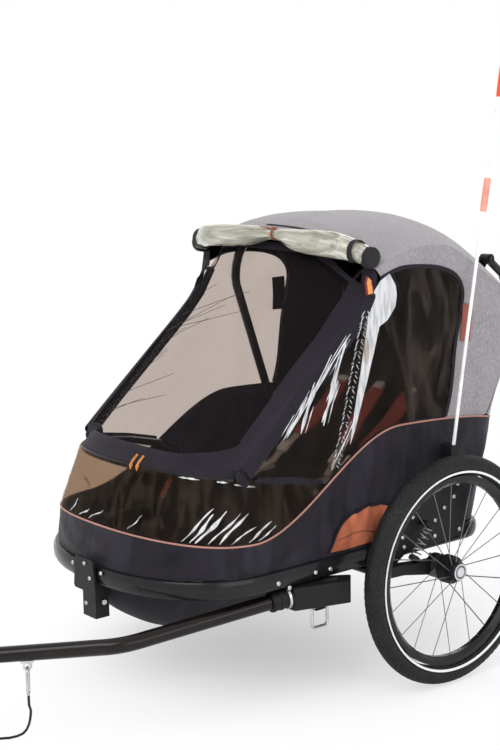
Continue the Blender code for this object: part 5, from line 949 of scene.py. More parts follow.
window_arch = curved(WINDOW_TOP, 40)
window_sill = [(-0.084 + 0.536 * k / 24, window_floor(-0.084 + 0.536 * k / 24)) for k in range(25)]
panel_low = rear_top(CABIN_HALF_WIDTH)
panel_edge = curved([station[:2] for station in ROOF_STATIONS], 40)
panel_outline = []
for k, (x, z) in enumerate(panel_edge):
    back = smooth_step((k / 4 - 5) / 1.5)
    panel_outline.append((x + 0.0022 * back, z - 0.0004))
panel_corner = panel_low.x + 0.0032
panel_outline.append((panel_corner, panel_low.z + 0.009))
for k in range(1, 7):
    x = panel_corner + (-0.0845 - panel_corner) * k / 6
    panel_outline.append((x, panel_low.z + (window_floor(-0.084) - panel_low.z) * (k / 6) ** 0.5 + 0.0006))
panel_outline += [(x - 0.0005, z + 0.0005) for x, z in reversed(window_arch[:-1])]
film_front = [through(PILLAR_PATH, 0.02 + 0.94 * k / 16) for k in range(17)]
film_front = [(x - 0.003, z - 0.003) for x, z in film_front]


def panel_waves(x, z):
    return -0.0012 * max(0.0, math.sin(19 * z + 6 * x)) * smooth_step((0.93 - z) / 0.1)


def film_waves(x, z):
    return -0.0014 * (0.5 + 0.5 * math.sin(34 * x + 16 * z)) - 0.0006 * math.sin(90 * x - 30 * z)


def no_waves(x, z):
    return 0.0


for side, s in ALL_SIDES:
    side_sheet(f"side_panel_cloth_{side}", panel_outline, PANEL_Y + 0.0004, s, "grey_cloth", panel_waves,
               replaces=[f"side_panel_{side}"])
    side_sheet(f"side_panel_lining_{side}", panel_outline, PANEL_Y - 0.0030, s, "lining_cloth", no_waves,
               0.0006, 0.014)
    side_sheet(f"window_film_{side}", window_arch + window_sill[1:] + film_front, PANEL_Y, s, "film",
               film_waves, 0.0008, replaces=[f"side_window_{side}"])
    tube_piece(f"window_binding_{side}", [V(x, s * (PANEL_Y + 0.0008), z) for x, z in window_arch],
               flat_section(0.0045, 0.0005), "border_cloth", (0, 1, 0))


# Lower window round the nose
def nose_rows(count_front, count_side, levels):
    plan = half_plan(HOOP_HALF_WIDTH + 0.0003, HOOP_FRONT_X, HOOP_STRAIGHT_X, HOOP_REAR_X, REAR_CORNER,
                     count_front, count_side)
    front_half = [(x, y) for x, y in plan if x > 0.270]
    whole = front_half + [(x, -y) for x, y in reversed(front_half[:-1])]
    bar = BAR_RADIUS + 0.0022
    start = front_half[0][0]
    out = []
    for x, y in whole:
        low = skirt_point(x, y, 1.0) + V(0, 0, 2 * PIPING_RADIUS + 0.0009)
        bx = start + (BAR_FRONT_X + bar - start) * (x - start) / (HOOP_FRONT_X - start)
        if bx <= BAR_STRAIGHT_X:
            by = BAR_HALF_WIDTH + bar
        else:
            s = min(1.0, (bx - BAR_STRAIGHT_X) / (BAR_FRONT_X + bar - BAR_STRAIGHT_X))
            by = (BAR_HALF_WIDTH + bar) * (1 - s ** FRONT_POWER) ** (1 / FRONT_POWER)
        top = max(bar_height(min(bx, BAR_FRONT_X)) + 0.001, low.z + 0.004)
        high = V(bx, math.copysign(by, y) if abs(y) > 1e-6 else 0.0, top)
        row = []
        for k in range(levels + 1):
            t = k / levels
            p = low.lerp(high, t)
            ripple = 0.0012 * math.sin(math.pi * t) * math.sin(math.atan2(p.y, p.x - 0.3) * 31 + 4 * t)
            row.append(p - V(p.x - 0.3, p.y, 0).normalized() * (0.0012 + ripple))
        out.append(row)
    return out


film_rows = nose_rows(30, 44, 12)
sheet("nose_window_film", film_rows, "nose_film", thick=0.0008, heart=(0.2, 0, 0.44), fold=False,
      replaces=["lower_window"])

for side, s in ALL_SIDES:
    edge = [row[-1] for row in film_rows if 0.275 < row[-1].x < 0.455 and row[-1].y * s > 0.2]
    rows = []
    for p in edge:
        upper = V(p.x, s * (PANEL_Y + 0.0006), max(window_floor(p.x), p.z) + 0.0040)
        rows.append([upper.lerp(p - V(0, 0, 0.0015), j / 4) for j in range(5)])
    sheet(f"window_sill_band_{side}", rows, "border_cloth", thick=0.0008, heart=(0.2, 0, 0.5))


# Insect net, its borders and the black band on the bow
def pillar_top(t):
    """A point over the pillar's upper face, t from its foot to its head."""
    x, z = through(PILLAR_PATH, t)
    xa, za = through(PILLAR_PATH, min(1.0, t + 0.03))
    xb, zb = through(PILLAR_PATH, max(0.0, t - 0.03))
    run = Vector((xa - xb, za - zb)).normalized()
    return x + run.y * 0.0125, z + abs(run.x) * 0.0125


NET_EDGE_Y = 0.2775


def net_point(y, t, lift=0.0):
    """A point on the net, across the opening and up from the bow to the roof's hem."""
    low = bar_point(y) + V(0, 0, BAR_RADIUS + 0.0015)
    tuck = 1 - (min(abs(y), 0.25) / 0.25) ** 2
    high = roof_point(0, y) + V(-0.012 * tuck, 0, -0.0045 - 0.020 * tuck)
    sag = 0.010 * math.sin(math.pi * t) * (1 - (y / 0.28) ** 2)
    middle = low.lerp(high, t) - V(0.35, 0, 1).normalized() * sag
    ex, ez = pillar_top(0.985 * t)
    w = smooth_step((abs(y) - 0.150) / 0.112)
    wrinkle = 0.0010 * math.sin(26 * y + 19 * t) * math.sin(math.pi * t)
    return middle.lerp(V(ex, y, ez), w) + V(0.6, 0, 0.8) * (wrinkle + lift)


net_rows = [[net_point(NET_EDGE_Y * math.cos(math.pi * k / 44), j / 30) for k in range(45)]
            for j in range(31)]
sheet("front_net_mesh", net_rows, "net", thick=0.0006, heart=(0.1, 0, 0.5), replaces=["front_net"])


def border(name, outer, inner, across=5):
    """A strip of cloth on the net between two edges, each a function from 0..1 to (y, t)."""
    count = 48
    rows = []
    for k in range(count + 1):
        a, b = Vector(outer(k / count)), Vector(inner(k / count))
        row = []
        for j in range(across + 1):
            y, t = a.lerp(b, j / across)
            row.append(net_point(y, t, 0.0016 + 0.0006 * math.sin(23 * t + 2 * j)))
        rows.append(row)
    sheet(name, rows, "border_cloth", thick=0.0012, heart=(0.1, 0, 0.5))


def near_inner(u):
    """The near border's inner edge: 45 mm in along the pillar, rounding into the band along the bow."""
    if u > 0.35:
        t = 0.17 + (u - 0.35) / 0.65 * 0.83
        return (0.230 - 0.006 * math.sin(math.pi * t), t)
    angle = math.pi / 2 * (u / 0.35)
    return (0.130 + 0.100 * math.sin(angle), 0.062 + 0.108 * (1 - math.cos(angle)))


def near_outer(u):
    if u > 0.35:
        return (NET_EDGE_Y + 0.0005, 0.11 + (u - 0.35) / 0.65 * 0.89)
    f = u / 0.35
    return (0.130 + (NET_EDGE_Y + 0.0005 - 0.130) * min(1.0, f * 1.25), max(0.0, f - 0.8) / 0.2 * 0.11)


border("net_border_left", near_outer, near_inner)
border("net_border_right", lambda u: (-NET_EDGE_Y - 0.0005, u),
       lambda u: (-NET_EDGE_Y + 0.0040 + 0.012 * (1 - u) ** 4, u), across=3)
border("net_border_low", lambda u: (0.132 - (0.132 + 0.277) * u, 0.0),
       lambda u: (0.132 - (0.132 + 0.272) * u, 0.062 + 0.004 * math.sin(math.pi * u)))
border("net_border_high", lambda u: (0.277 - 0.554 * u, 0.996), lambda u: (0.272 - 0.544 * u, 0.965),
       across=3)
for side, s in ALL_SIDES:
    rows = []
    for k in range(41):
        t = k / 40 * 0.97
        x, z = pillar_top(0.985 * t)
        start = net_point(s * NET_EDGE_Y, t, 0.0014)
        rows.append([start, V(x + 0.001, s * 0.2865, z - 0.0025), V(x - 0.002, s * 0.2924, z - 0.0105),
                     V(x - 0.008, s * 0.2930, z - 0.0205)])
    hem_end = roof_point(0, s * 0.2840)
    head = [hem_end + V(0.001, -s * 0.022, 0.001), hem_end + V(-0.001, s * 0.003, -0.004),
            hem_end + V(-0.006, s * 0.0045, -0.011), hem_end + V(-0.012, s * 0.0045, -0.020)]
    foot_row = [net_point(s * 0.256, 0.966, 0.0016)] + rows[-1][1:]
    rows += [[a.lerp(b, k / 4) for a, b in zip(foot_row, head)] for k in range(1, 5)]
    sheet(f"pillar_sleeve_{side}", rows, "border_cloth", thick=0.0010, heart=(0.1, 0, 0.5))


def bow_skin(y, angle):
    """A point on the bow's tube, angle in degrees up from its outer side."""
    w = min(1.0, abs(y) / BAR_HALF_WIDTH)
    flat = V(max(0.05, 1 - w ** 4), math.copysign(w ** 3, y) if abs(y) > 1e-4 else 0.0, 0).normalized()
    r = BAR_RADIUS + 0.0006
    angle = math.radians(angle)
    return bar_point(y) + flat * (r * math.cos(angle)) + V(0, 0, r * math.sin(angle))


rows = []
for k in range(73):
    u = 1 - 2 * k / 72
    y = 0.2745 * math.copysign(abs(u) ** 0.85, u)
    corner = smooth_step((abs(y) - 0.20) / 0.06)
    upper_y = math.copysign(min(NET_EDGE_Y, abs(y) * (1 + 0.02 * corner)), y)
    upper = net_point(upper_y, 0.0, 0.0018) + V(0.0085 * corner, math.copysign(0.004 * corner, y),
                                                -0.003 * corner)
    lower = bow_skin(y, 35)
    over = [net_point(upper_y, 0.024, 0.0026), net_point(upper_y, 0.010, 0.0034)]
    down = [upper.lerp(lower, j / 5) + V(0.6, 0, 0.3) * (0.0022 * math.sin(math.pi * j / 5))
            for j in range(1, 6)]
    rows.append(over + down)
sheet("bow_gusset", rows, "border_cloth", thick=0.0008, heart=(0.1, 0, 0.3), fold=False)

# Boots over the pillars' feet
BOOT_PATH = (through(PILLAR_PATH, 0.030), through(PILLAR_PATH, 0.012), (0.4720, 0.5200), (0.4770, 0.5130),
             (0.4740, 0.5040), (0.4620, 0.4965))
boot_rings = [circle(0.0086 + 0.0022 * math.sin(math.pi * k / 20), 20) for k in range(21)]
for side, s in ALL_SIDES:
    boot = curved_line([V(x, s * PILLAR_Y, z) for x, z in BOOT_PATH], 20)
    tube_piece(f"pillar_boot_{side}", boot, boot_rings, "border_cloth", (0, 1, 0), fold=False,
               body="front_pillars")

# Rolled rain cover: two halves that swell out of a tie in the middle
ROLL_HALF = 0.288
TIE_Y = 0.050


def roll_facts(y):
    end = abs(y) / ROLL_HALF
    pinch = math.exp(-((y - TIE_Y) / 0.050) ** 2)
    belly = (1 - math.exp(-((y - TIE_Y) / 0.120) ** 2)) * (1 - smooth_step((end - 0.70) / 0.30))
    swell = 0.0080 if y > TIE_Y else 0.0030
    radius = 0.0212 - 0.0102 * pinch + swell * belly - 0.0010 * smooth_step((end - 0.86) / 0.14)
    hem_spot = roof_point(0, max(-CABIN_HALF_WIDTH, min(CABIN_HALF_WIDTH, y)))
    out = V(0.94, 0, -0.34).lerp(V(0.34, 0, 0.94), end ** 1.7).normalized()
    return V(hem_spot.x, y, hem_spot.z - 0.007 * belly) + out * (radius + 0.0016), radius


bm = bmesh.new()
rings = []
ROLL_STEPS = 96
ROLL_SIDES = 30
for k in range(ROLL_STEPS + 1):
    y = -ROLL_HALF + 2 * ROLL_HALF * k / ROLL_STEPS
    middle, radius = roll_facts(y)
    ring = []
    for j in range(ROLL_SIDES):
        angle = 2 * math.pi * j / ROLL_SIDES
        lap = 0.0016 * math.exp(-(((angle - 0.9) % (2 * math.pi)) / 0.5) ** 2)
        gather = 0.0013 * math.exp(-((y - TIE_Y) / 0.085) ** 2) * math.sin(11 * angle)
        dent = 0.0012 * math.sin(31 * y + 2 * math.sin(3 * angle)) * math.sin(2 * angle + 9 * y)
        r = radius + lap + gather + dent
        ring.append(bm.verts.new(middle + V(r * math.cos(angle), 0, r * math.sin(angle))))
    rings.append(ring)
skin(bm, rings, ends=True)
roll = finished("rain_cover_roll", bm, "roll_film", replaces=["rain_roll"])
folds(roll)

# Black caps over the roll's ends, and the tie round its middle
CAP_SIDES = 28
bm = bmesh.new()
for s in (1, -1):
    for y, wide, grow in ((0.2865, 0.0080, 0.0024), (0.259, 0.0120, 0.0014)):
        middle, radius = roll_facts(s * y)
        profile = ((-wide, 1.0), (wide * 0.7, 1.0), (wide, 0.94))
        ring_rows = []
        for k in range(CAP_SIDES):
            angle = 2 * math.pi * k / CAP_SIDES
            r = radius + grow
            ring = [V(r * q * math.cos(angle), s * a, r * q * math.sin(angle)) for a, q in profile]
            ring_rows.append([bm.verts.new(middle + p) for p in ring])
        skin(bm, ring_rows, loop=True, around=False)
        if y > 0.28:
            bm.faces.new([row[2] for row in ring_rows])
        bm.faces.new([row[0] for row in ring_rows])
folds(finished("roll_end_caps", bm, "strap_black"))
middle, radius = roll_facts(TIE_Y)
bm = bmesh.new()
tie = [middle + V(a, 0.0, b) for a, b in circle(radius + 0.0022, 24)]
tube(bm, tie, [(-0.0007, 0.0028), (0.0007, 0.0028), (0.0007, -0.0028), (-0.0007, -0.0028)], up=(0, 1, 0),
     loop=True)
for turn, tip in ((0.5, (0.020, 0.013, 0.006)), (-0.4, (0.012, -0.026, 0.004))):
    start = middle + V(0.5 * radius, turn * 0.01, 0.8 * radius + 0.0030)
    tube(bm, [start, start + V(*tip) * 0.5 + V(0, 0, 0.001), start + V(*tip)], flat_section(0.0030, 0.0006),
         up=(0, 0, 1))
folds(finished("roll_tie", bm, "coral_cloth"))

# Seats: sling, cushions, harnesses
LEAN_FOOT = V(-0.150, 0, 0.352)
LEAN = V(-0.280 + 0.150, 0, 0.765 - 0.352).normalized()
FRONT_OF_LEAN = V(LEAN.z, 0, -LEAN.x)


def leg(t):
    """A point up the back rest's slope, t metres from its foot."""
    return LEAN_FOOT + LEAN * t


def sling(i, k):
    sag = 0.003 * math.sin(math.pi * i / 16) * math.sin(math.pi * k / 20)
    return leg(0.022 + 0.385 * i / 16) + V(0, 0.2172 * (1 - 2 * k / 20), 0) - FRONT_OF_LEAN * sag


sling_rows = [[sling(i, k) for k in range(21)] for i in range(17)]
sheet("back_sling_cloth", sling_rows, "seat_cloth", heart=(-0.6, 0, 0.6), replaces=["back_sling"])

SEAT_Y = 0.1115
SEAT_BASE_Z = 0.3293
CUSHION_WIDTH = 0.190


def cushion(name, corner, along, normal, length, thick, node):
    """A foam pad in a sewn cover: crowned, drawn in at the sides, with two channels across it."""
    n = 26
    bm = bmesh.new()
    top = []
    low = []
    for i in range(n + 1):
        u = -math.cos(math.pi * i / n)
        top.append([])
        low.append([])
        for j in range(n + 1):
            v = -math.cos(math.pi * j / n)
            swell = (1 - abs(u) ** 5) * (1 - abs(v) ** 5)
            channel = 1 - 0.13 * math.exp(-(((u + 0.05) / 0.045) ** 2))
            channel -= 0.10 * math.exp(-(((u - 0.55) / 0.04) ** 2))
            puff = 0.0015 * math.sin(13 * u + 2 * v) * math.sin(9 * v) * swell
            height = thick * (0.45 + 0.53 * swell ** 0.45 * channel) + puff
            base = corner + along * (length * (u + 1) / 2) + V(0, 1, 0) * (CUSHION_WIDTH * 0.497 * v)
            top[-1].append(bm.verts.new(base + normal * height))
            low[-1].append(bm.verts.new(base + normal * 0.0004))
    rims = [(low[k], top[k]) for k in (0, n)]
    rims += [([row[k] for row in low], [row[k] for row in top]) for k in (0, n)]
    for rows in (top, low, *rims):
        skin(bm, rows, around=False)
    pad = finished(name, bm, "seat_cloth", replaces=[node], smooth=80)
    return folds(pad) if node.startswith("back") else pad


def block(bm, half_size, place, turn=0):
    """A box at a place, leaned by turn degrees about Y."""
    made = bmesh.ops.create_cube(bm, size=2.0)["verts"]
    bmesh.ops.scale(bm, vec=half_size, verts=made)
    if turn:
        bmesh.ops.rotate(bm, cent=(0, 0, 0), matrix=Matrix.Rotation(math.radians(turn), 3, "Y"), verts=made)
    bmesh.ops.translate(bm, vec=place, verts=made)


STRAP_SECTION = flat_section(0.011, 0.0011)
BUCKLE_BLOCKS = (((0, 0, 0.0035), (0.019, 0.023, 0.0060)), ((0.016, 0, 0.006), (0.008, 0.010, 0.0050)),
                 ((-0.010, 0.018, 0.007), (0.011, 0.0035, 0.003)),
                 ((-0.010, -0.018, 0.007), (0.011, 0.0035, 0.003)))
for side, s in ALL_SIDES:
    cushion(f"seat_pad_{side}", V(-0.098, s * SEAT_Y, SEAT_BASE_Z), V(1, 0, 0), V(0, 0, 1), 0.262, 0.050,
            f"seat_cushion_{side}")
    cushion(f"back_pad_{side}", leg(0.050) + FRONT_OF_LEAN * 0.0008 + V(0, s * SEAT_Y, 0), LEAN,
            FRONT_OF_LEAN, 0.375, 0.032, f"back_cushion_{side}")
    buckle = V(0.105, s * SEAT_Y, 0.405)
    straps = bmesh.new()
    dark_straps = bmesh.new()
    pads = bmesh.new()
    clips = bmesh.new()
    for way in (1, -1):
        top_of_strap = leg(0.372) + FRONT_OF_LEAN * 0.036
        path = []
        for u in (0.0, 0.12, 0.25, 0.40, 0.55, 0.70, 0.85, 0.96):
            spot = top_of_strap.lerp(V(buckle.x, 0, buckle.z), u)
            spread = 0.050 - 0.035 * smooth_step((u - 0.50) / 0.50)
            slack = 0.045 * math.sin(math.pi * u) ** 2 if s * way > 0 > s else 0.0
            drop = 0.012 * math.sin(math.pi * u) ** 2
            path.append(V(spot.x + slack, buckle.y + way * spread - 0.3 * slack, spot.z - drop + 0.3 * slack))
        smooth_path = curved_line(path, 40)
        rows = []
        for k, p in enumerate(smooth_path):
            ahead = smooth_path[min(k + 1, 40)] - smooth_path[max(k - 1, 0)]
            up = ahead.normalized().cross(V(0, 1, 0)).normalized()
            rows.append([(p + V(0, a, 0) + up * b) for a, b in STRAP_SECTION])
        for target, part in ((dark_straps, rows[:19]), (straps, rows[18:])):
            skin(target, [[target.verts.new(p) for p in row] for row in part], ends=True)
        pad_rows = []
        for k in range(25):
            t = k / 24
            spot = Vector(through(path, 0.40 + 0.36 * t))
            up = V(0.66, 0, 0.75)
            round_end = math.sqrt(max(0.0, 1 - (2 * t - 1) ** 8))
            half = 0.0235 * (0.70 + 0.30 * round_end)
            puff = 0.0052 * (0.55 + 0.45 * round_end) * (1 - 0.25 * math.exp(-((t - 0.5) / 0.05) ** 2))
            ring = []
            for c, w in circle(1.0, 14):
                across = V(0, half * math.copysign(abs(c) ** 0.75, c), 0)
                height = puff * math.copysign(abs(w) ** 0.8, w) + 0.0015
                ring.append(pads.verts.new(spot + across + up * height))
            pad_rows.append(ring)
        skin(pads, pad_rows, ends=True)
        for spot, half_size in ((path[6], (0.015, 0.017, 0.0034)), (smooth_path[16], (0.012, 0.015, 0.003))):
            block(clips, half_size, spot + V(0.001, 0, 0.002), 42)
    for shift, half_size in BUCKLE_BLOCKS:
        block(clips, half_size, buckle + V(*shift))
    bmesh.ops.bevel(clips, geom=list(clips.edges), offset=0.0014, segments=2, affect="EDGES")
    crotch = curved_line([buckle, buckle + V(0.018, 0, -0.006), V(buckle.x + 0.030, buckle.y, 0.3880),
                          V(buckle.x + 0.028, buckle.y, 0.3806)], 16)
    skin(straps, [[straps.verts.new(p + V(0, a, b)) for a, b in STRAP_SECTION] for p in crotch], ends=True)
    folds(finished(f"harness_straps_{side}", straps, "webbing", replaces=[f"harness_{side}"]))
    folds(finished(f"shoulder_straps_{side}", dark_straps, "strap_black"))
    pad_piece = finished(f"shoulder_pads_{side}", pads, "pad_red")
    folds(pad_piece)
    folds(finished(f"harness_buckles_{side}", clips, "buckle"))

# Flag pole's coral sleeve and ferrule, and the pennant
FLAG_FOOT = V(-0.079, 0.3185, 0.478)


def flag_point(h):
    return FLAG_FOOT + V(-0.160 * h - 0.022 * h * h, 0, h)


for name, low_h, high_h, radius, look in (("flag_sleeve", 0.770, 0.965, 0.0072, "flag_cloth"),
                                          ("flag_ferrule", 0.525, 0.597, 0.0074, "ferrule")):
    spots = [flag_point(low_h + (high_h - low_h) * k / 14) for k in range(15)]
    rings = [circle(radius * (0.86 if k in (0, 14) else 1.0) + 0.0003 * math.sin(5 * k), 20)
             for k in range(15)]
    tube_piece(name, spots, rings, look, fold=False, body="flag_pole")
FLAG_LENGTH = 0.235
flag_rows = []
for i in range(27):
    u = i / 26
    row = []
    for j in range(15):
        v = j / 14 - 0.5
        h = 0.8675 + 0.187 * v * (1 - u) - 0.012 * u * u
        root = flag_point(0.8675 + 0.187 * v)
        here = flag_point(h)
        sway = 0.0055 * u * math.sin(9.0 * u + 2.2 * v)
        row.append(V(root.x - 0.0065 - FLAG_LENGTH * u * (0.985 - 0.05 * abs(v)), FLAG_FOOT.y + sway,
                     here.z - 0.010 * u * u))
    flag_rows.append(row)
flag_piece = finished("flag_pennant", thickened(grid_mesh(flag_rows), 0.0007, (-0.2, -2, 1.3)), "flag_cloth",
                      body="flag_pole", replaces=["flag"])

# Tyres: a tread of offset blocks, sidewalls and a reflective stripe, over the rim and hub of the wheel
WHEEL_Y = 0.392
WHEEL_Z = 0.2501
TYRE_RING = 0.2275
TYRE_SECTION = 0.0226
TREAD_PITCHES = 96
TYRE_ANGLES = 26


def tyre_mesh(s):
    bm = bmesh.new()
    rings = []
    steps = TREAD_PITCHES * 4
    for k in range(steps):
        turn = 2 * math.pi * k / steps
        ring = []
        for j in range(TYRE_ANGLES + 1):
            angle = math.radians(-142 + 284 * j / TYRE_ANGLES)
            row_number = math.floor((math.degrees(angle) + 96) / 22)
            raised = 0.0
            if -96 <= math.degrees(angle) <= 96:
                offset = 0.5 * (row_number % 2)
                phase = (k / 4 + offset) % 1.0
                lane = ((math.degrees(angle) + 96) / 22) % 1.0
                deep = 0.0017 if abs(angle) < 1.1 else 0.0011
                raised = deep if phase < 0.70 and 0.15 < lane < 0.90 else 0.0
            r = TYRE_SECTION - 0.0020 + raised
            out = TYRE_RING + r * math.cos(angle)
            ring.append(bm.verts.new(V(out * math.cos(turn), s * (WHEEL_Y + r * math.sin(angle)),
                                       WHEEL_Z + out * math.sin(turn))))
        rings.append(ring)
    return skin(bm, rings, loop=True)


STRIPE_PROFILE = ((0.0192, 0.2140), (0.0200, 0.2140), (0.0215, 0.2172), (0.0215, 0.2188), (0.0200, 0.2186))
for side, s in ALL_SIDES:
    wheel = f"wheel_{side}"
    finished(f"tread_{side}", tyre_mesh(s), "tyre_rubber", body=wheel, replaces=[f"tyre_{side}"], smooth=28)
    bm = bmesh.new()
    centre = (0, s * WHEEL_Y, WHEEL_Z)
    for way in (1, -1):
        revolve(bm, [(way * y, radius) for y, radius in STRIPE_PROFILE], centre, 96, s)
    finished(f"tyre_stripe_{side}", bm, "reflective", body=wheel)
    # Black shell over the hub and its flanges
    bm = bmesh.new()
    revolve(bm, [(0.0262, 0.0118), (0.0262, 0.0190), (0.0235, 0.0208), (0.0150, 0.0216), (0.0060, 0.0220),
                 (0.0060, 0.0300), (-0.0100, 0.0308), (-0.0166, 0.0308), (-0.0166, 0.0235), (0.0, 0.0200),
                 (0.0160, 0.0165), (0.0225, 0.0140)], centre, 48, s)
    finished(f"hub_shell_{side}", bm, "plastic_black", body=wheel)
    # Spoke nipples inside the rim
    bm = bmesh.new()
    for k in range(20):
        angle = 2 * math.pi * (k + 0.5) / 20
        spot = V(0.2010 * math.cos(angle), s * WHEEL_Y, WHEEL_Z + 0.2010 * math.sin(angle))
        to_hub = V(-math.cos(angle), 0, -math.sin(angle))
        tube(bm, [spot, spot + to_hub * 0.006, spot + to_hub * 0.013],
             [circle(radius, 8) for radius in (0.0024, 0.0021, 0.0015)])
    finished(f"spoke_nipples_{side}", bm, "steel", body=wheel)


# Trims that only the looks carry: bolts, screws, tabs and stitched loops
def bolt(bm, place, direction, radius=0.0048, height=0.0028):
    """A domed bolt head with a socket, on a face that looks along direction."""
    axis = Vector(direction).normalized()
    side = axis.cross(V(0, 0, 1) if abs(axis.z) < 0.9 else V(1, 0, 0)).normalized()
    other = axis.cross(side)
    place = Vector(place)
    rings = []
    for r, h in ((1.0, 0.0), (1.0, 0.35), (0.86, 0.80), (0.62, 1.0), (0.42, 1.0), (0.40, 0.45)):
        rings.append([bm.verts.new(place + axis * (height * h) + side * a + other * b)
                      for a, b in circle(radius * r, 18)])
    tip = bm.verts.new(place + axis * (height * 0.40))
    skin(bm, rings)
    for k in range(18):
        bm.faces.new((rings[-1][k], rings[-1][(k + 1) % 18], tip))
    bm.faces.new(rings[0])


PLATE_FACE_Y = 0.3168
PLATE_BOLTS = ((0.042, 0.358), (0.073, 0.319), (0.068, 0.297), (-0.027, 0.339), (-0.056, 0.362),
               (-0.086, 0.382), (-0.098, 0.409), (-0.026, 0.304), (-0.104, 0.305), (0.118, 0.290))
for side, s in ALL_SIDES:
    bm = bmesh.new()
    for x, z in PLATE_BOLTS:
        bolt(bm, (x, s * PLATE_FACE_Y, z), (0, s, 0))
    finished(f"plate_bolts_{side}", bm, "steel")
bm = bmesh.new()
for x, z in ((0.319, 0.292), (0.279, 0.291), (0.419, 0.290), (0.390, 0.275)):
    bolt(bm, (x, 0.3122, z), (0, 1, 0.1), 0.0052, 0.0030)
finished("hoop_bolts", bm, "steel")

# Steel cap round the release button on each hub
for side, s in ALL_SIDES:
    bm = bmesh.new()
    revolve(bm, [(0.0262, 0.0118), (0.0272, 0.0122), (0.0272, 0.0172), (0.0266, 0.0184), (0.0240, 0.0188),
                 (0.0240, 0.0120)], (0, s * WHEEL_Y, WHEEL_Z), 48, s)
    finished(f"hub_cap_{side}", bm, "steel", body=f"wheel_{side}")

# Front bracket's bolts
bm = bmesh.new()
for y, z in ((0.004, 0.316), (0.022, 0.288), (0.006, 0.232)):
    bolt(bm, (0.6793, y, z), (1, 0, 0), 0.0046)
for y, z in ((0.052, 0.304), (-0.052, 0.304)):
    bolt(bm, (0.6715, y, z), (1, 0, 0.1), 0.0046)
finished("socket_bolts", bm, "steel")


# Coral vent patches, tabs and sewn loops
def skirt_side(x, z):
    """The skirt's outer face on its straight side, at this height, with its folds."""
    return skirt_cloth(x, HOOP_HALF_WIDTH + 0.0003,
                       (z - SKIRT_BOTTOM_Z) / (piping_height(x) - SKIRT_BOTTOM_Z)).y


VENT = ((0.272, 0.3215), (0.262, 0.336), (0.250, 0.356), (0.234, 0.375), (0.214, 0.389), (0.190, 0.397),
        (0.160, 0.401), (0.120, 0.399), (0.090, 0.393), (0.050, 0.386), (0.002, 0.388), (-0.044, 0.394),
        (-0.040, 0.376), (-0.029, 0.352), (0.020, 0.340), (0.060, 0.332), (0.110, 0.326), (0.160, 0.3215),
        (0.220, 0.3200))


def vent_waves(x, z):
    return 0.5 + 0.5 * math.sin(150 * x + 70 * z)


def vent_rise(x, z):
    return skirt_side(x, z) + (0.0010 + 0.0026 * vent_waves(x, z) * min(1.0, (z - 0.319) / 0.02))


for side, s in ALL_SIDES:
    side_sheet(f"vent_patch_{side}", VENT, 0.0, s, "coral_cloth", vent_rise, spacing=0.006, heart=(0, 0, 0.4),
               fold=False)
    rim = [V(x, s * (skirt_side(x, z) + 0.0030), z) for x, z in curved(VENT[:13], 48)]
    tube_piece(f"vent_binding_{side}", rim, flat_section(0.0024, 0.0005), "border_cloth", (0, 1, 0),
               fold=False)
    bm = bmesh.new()
    for low_z in (0.342, 0.3405):
        line = [(0.252 - 0.115 * k / 20, low_z + 0.0105 * math.sin(math.pi * k / 20)) for k in range(21)]
        tube(bm, [V(x, s * (skirt_side(x, z) + 0.0012 + 0.0026 * vent_waves(x, z)), z) for x, z in line],
             circle(0.0003, 5))
    finished(f"vent_stitch_{side}", bm, "border_cloth")

# Tabs on the side panels, and the zip pulls at the net's upper corners
ZIP_PULL = (V(0.1435, 0.2885, 0.880), V(0.1500, 0.2935, 0.872), V(0.1490, 0.2950, 0.862),
            V(0.1465, 0.2945, 0.850))
for side, s in ALL_SIDES:
    tab = [V(-0.150 + 0.0008 * k, s * (PANEL_Y + 0.0018 + 0.0012 * math.sin(math.pi * k / 10)),
             0.802 - 0.0082 * k) for k in range(11)]
    tube_piece(f"panel_tab_{side}", tab, flat_section(0.0150, 0.0007), "tab_coral", (0, s, 0))
    if side == "left":
        tube_piece("door_tab_edge_left", ZIP_PULL, flat_section(0.0105, 0.0012), "pad_red", (0, 1, 0))
        tube_piece("door_tab_left", [p + V(0.0004, 0.0016, 0) for p in ZIP_PULL],
                   flat_section(0.0062, 0.0009), "tab_orange", (0, 1, 0))
root = net_point(-0.272, 0.93, 0.002)
tube_piece("door_tab_right", [root, root + V(0.010, -0.006, -0.012), root + V(0.016, -0.009, -0.030)],
           flat_section(0.0040, 0.0009), "border_cloth", (0, 1, 0))
for k, y in enumerate((0.066, 0.084)):
    over = [net_point(y, 0.022, 0.0034), bow_skin(y, 75) + V(0.002, 0, 0.003),
            bow_skin(y, 20) + V(0.0024, 0, 0), bow_skin(y, -30) + V(0.0014, 0, 0)]
    tube_piece(f"bow_tab_{k + 1}", over, flat_section(0.0036, 0.0008), "tab_orange", (0, 1, 0), fold=False)
spot = skirt_point(0.590, 0.175, 0.10)
bm = bmesh.new()
for k in (0, 1):
    base = spot + V(0.0022, 0.0022, 0.0075 * k)
    tube(bm, [base + V(-0.010, 0.012, 0), base + V(0.0006, 0.0006, 0.0004), base + V(0.010, -0.012, 0)],
         circle(0.0011, 6))
finished("sewn_loop", bm, "border_cloth")

# Pads sewn on the side panels' inner faces
for side, y, middle_y in (("right", -0.2885, -0.2870), ("left", 0.2865, 0.2850)):
    tube_piece(f"inner_pad_{side}", [V(-0.100, y, 0.822), V(-0.101, middle_y, 0.782), V(-0.100, y, 0.742)],
               flat_section(0.0175, 0.003), "lining_cloth", (0, 1, 0))

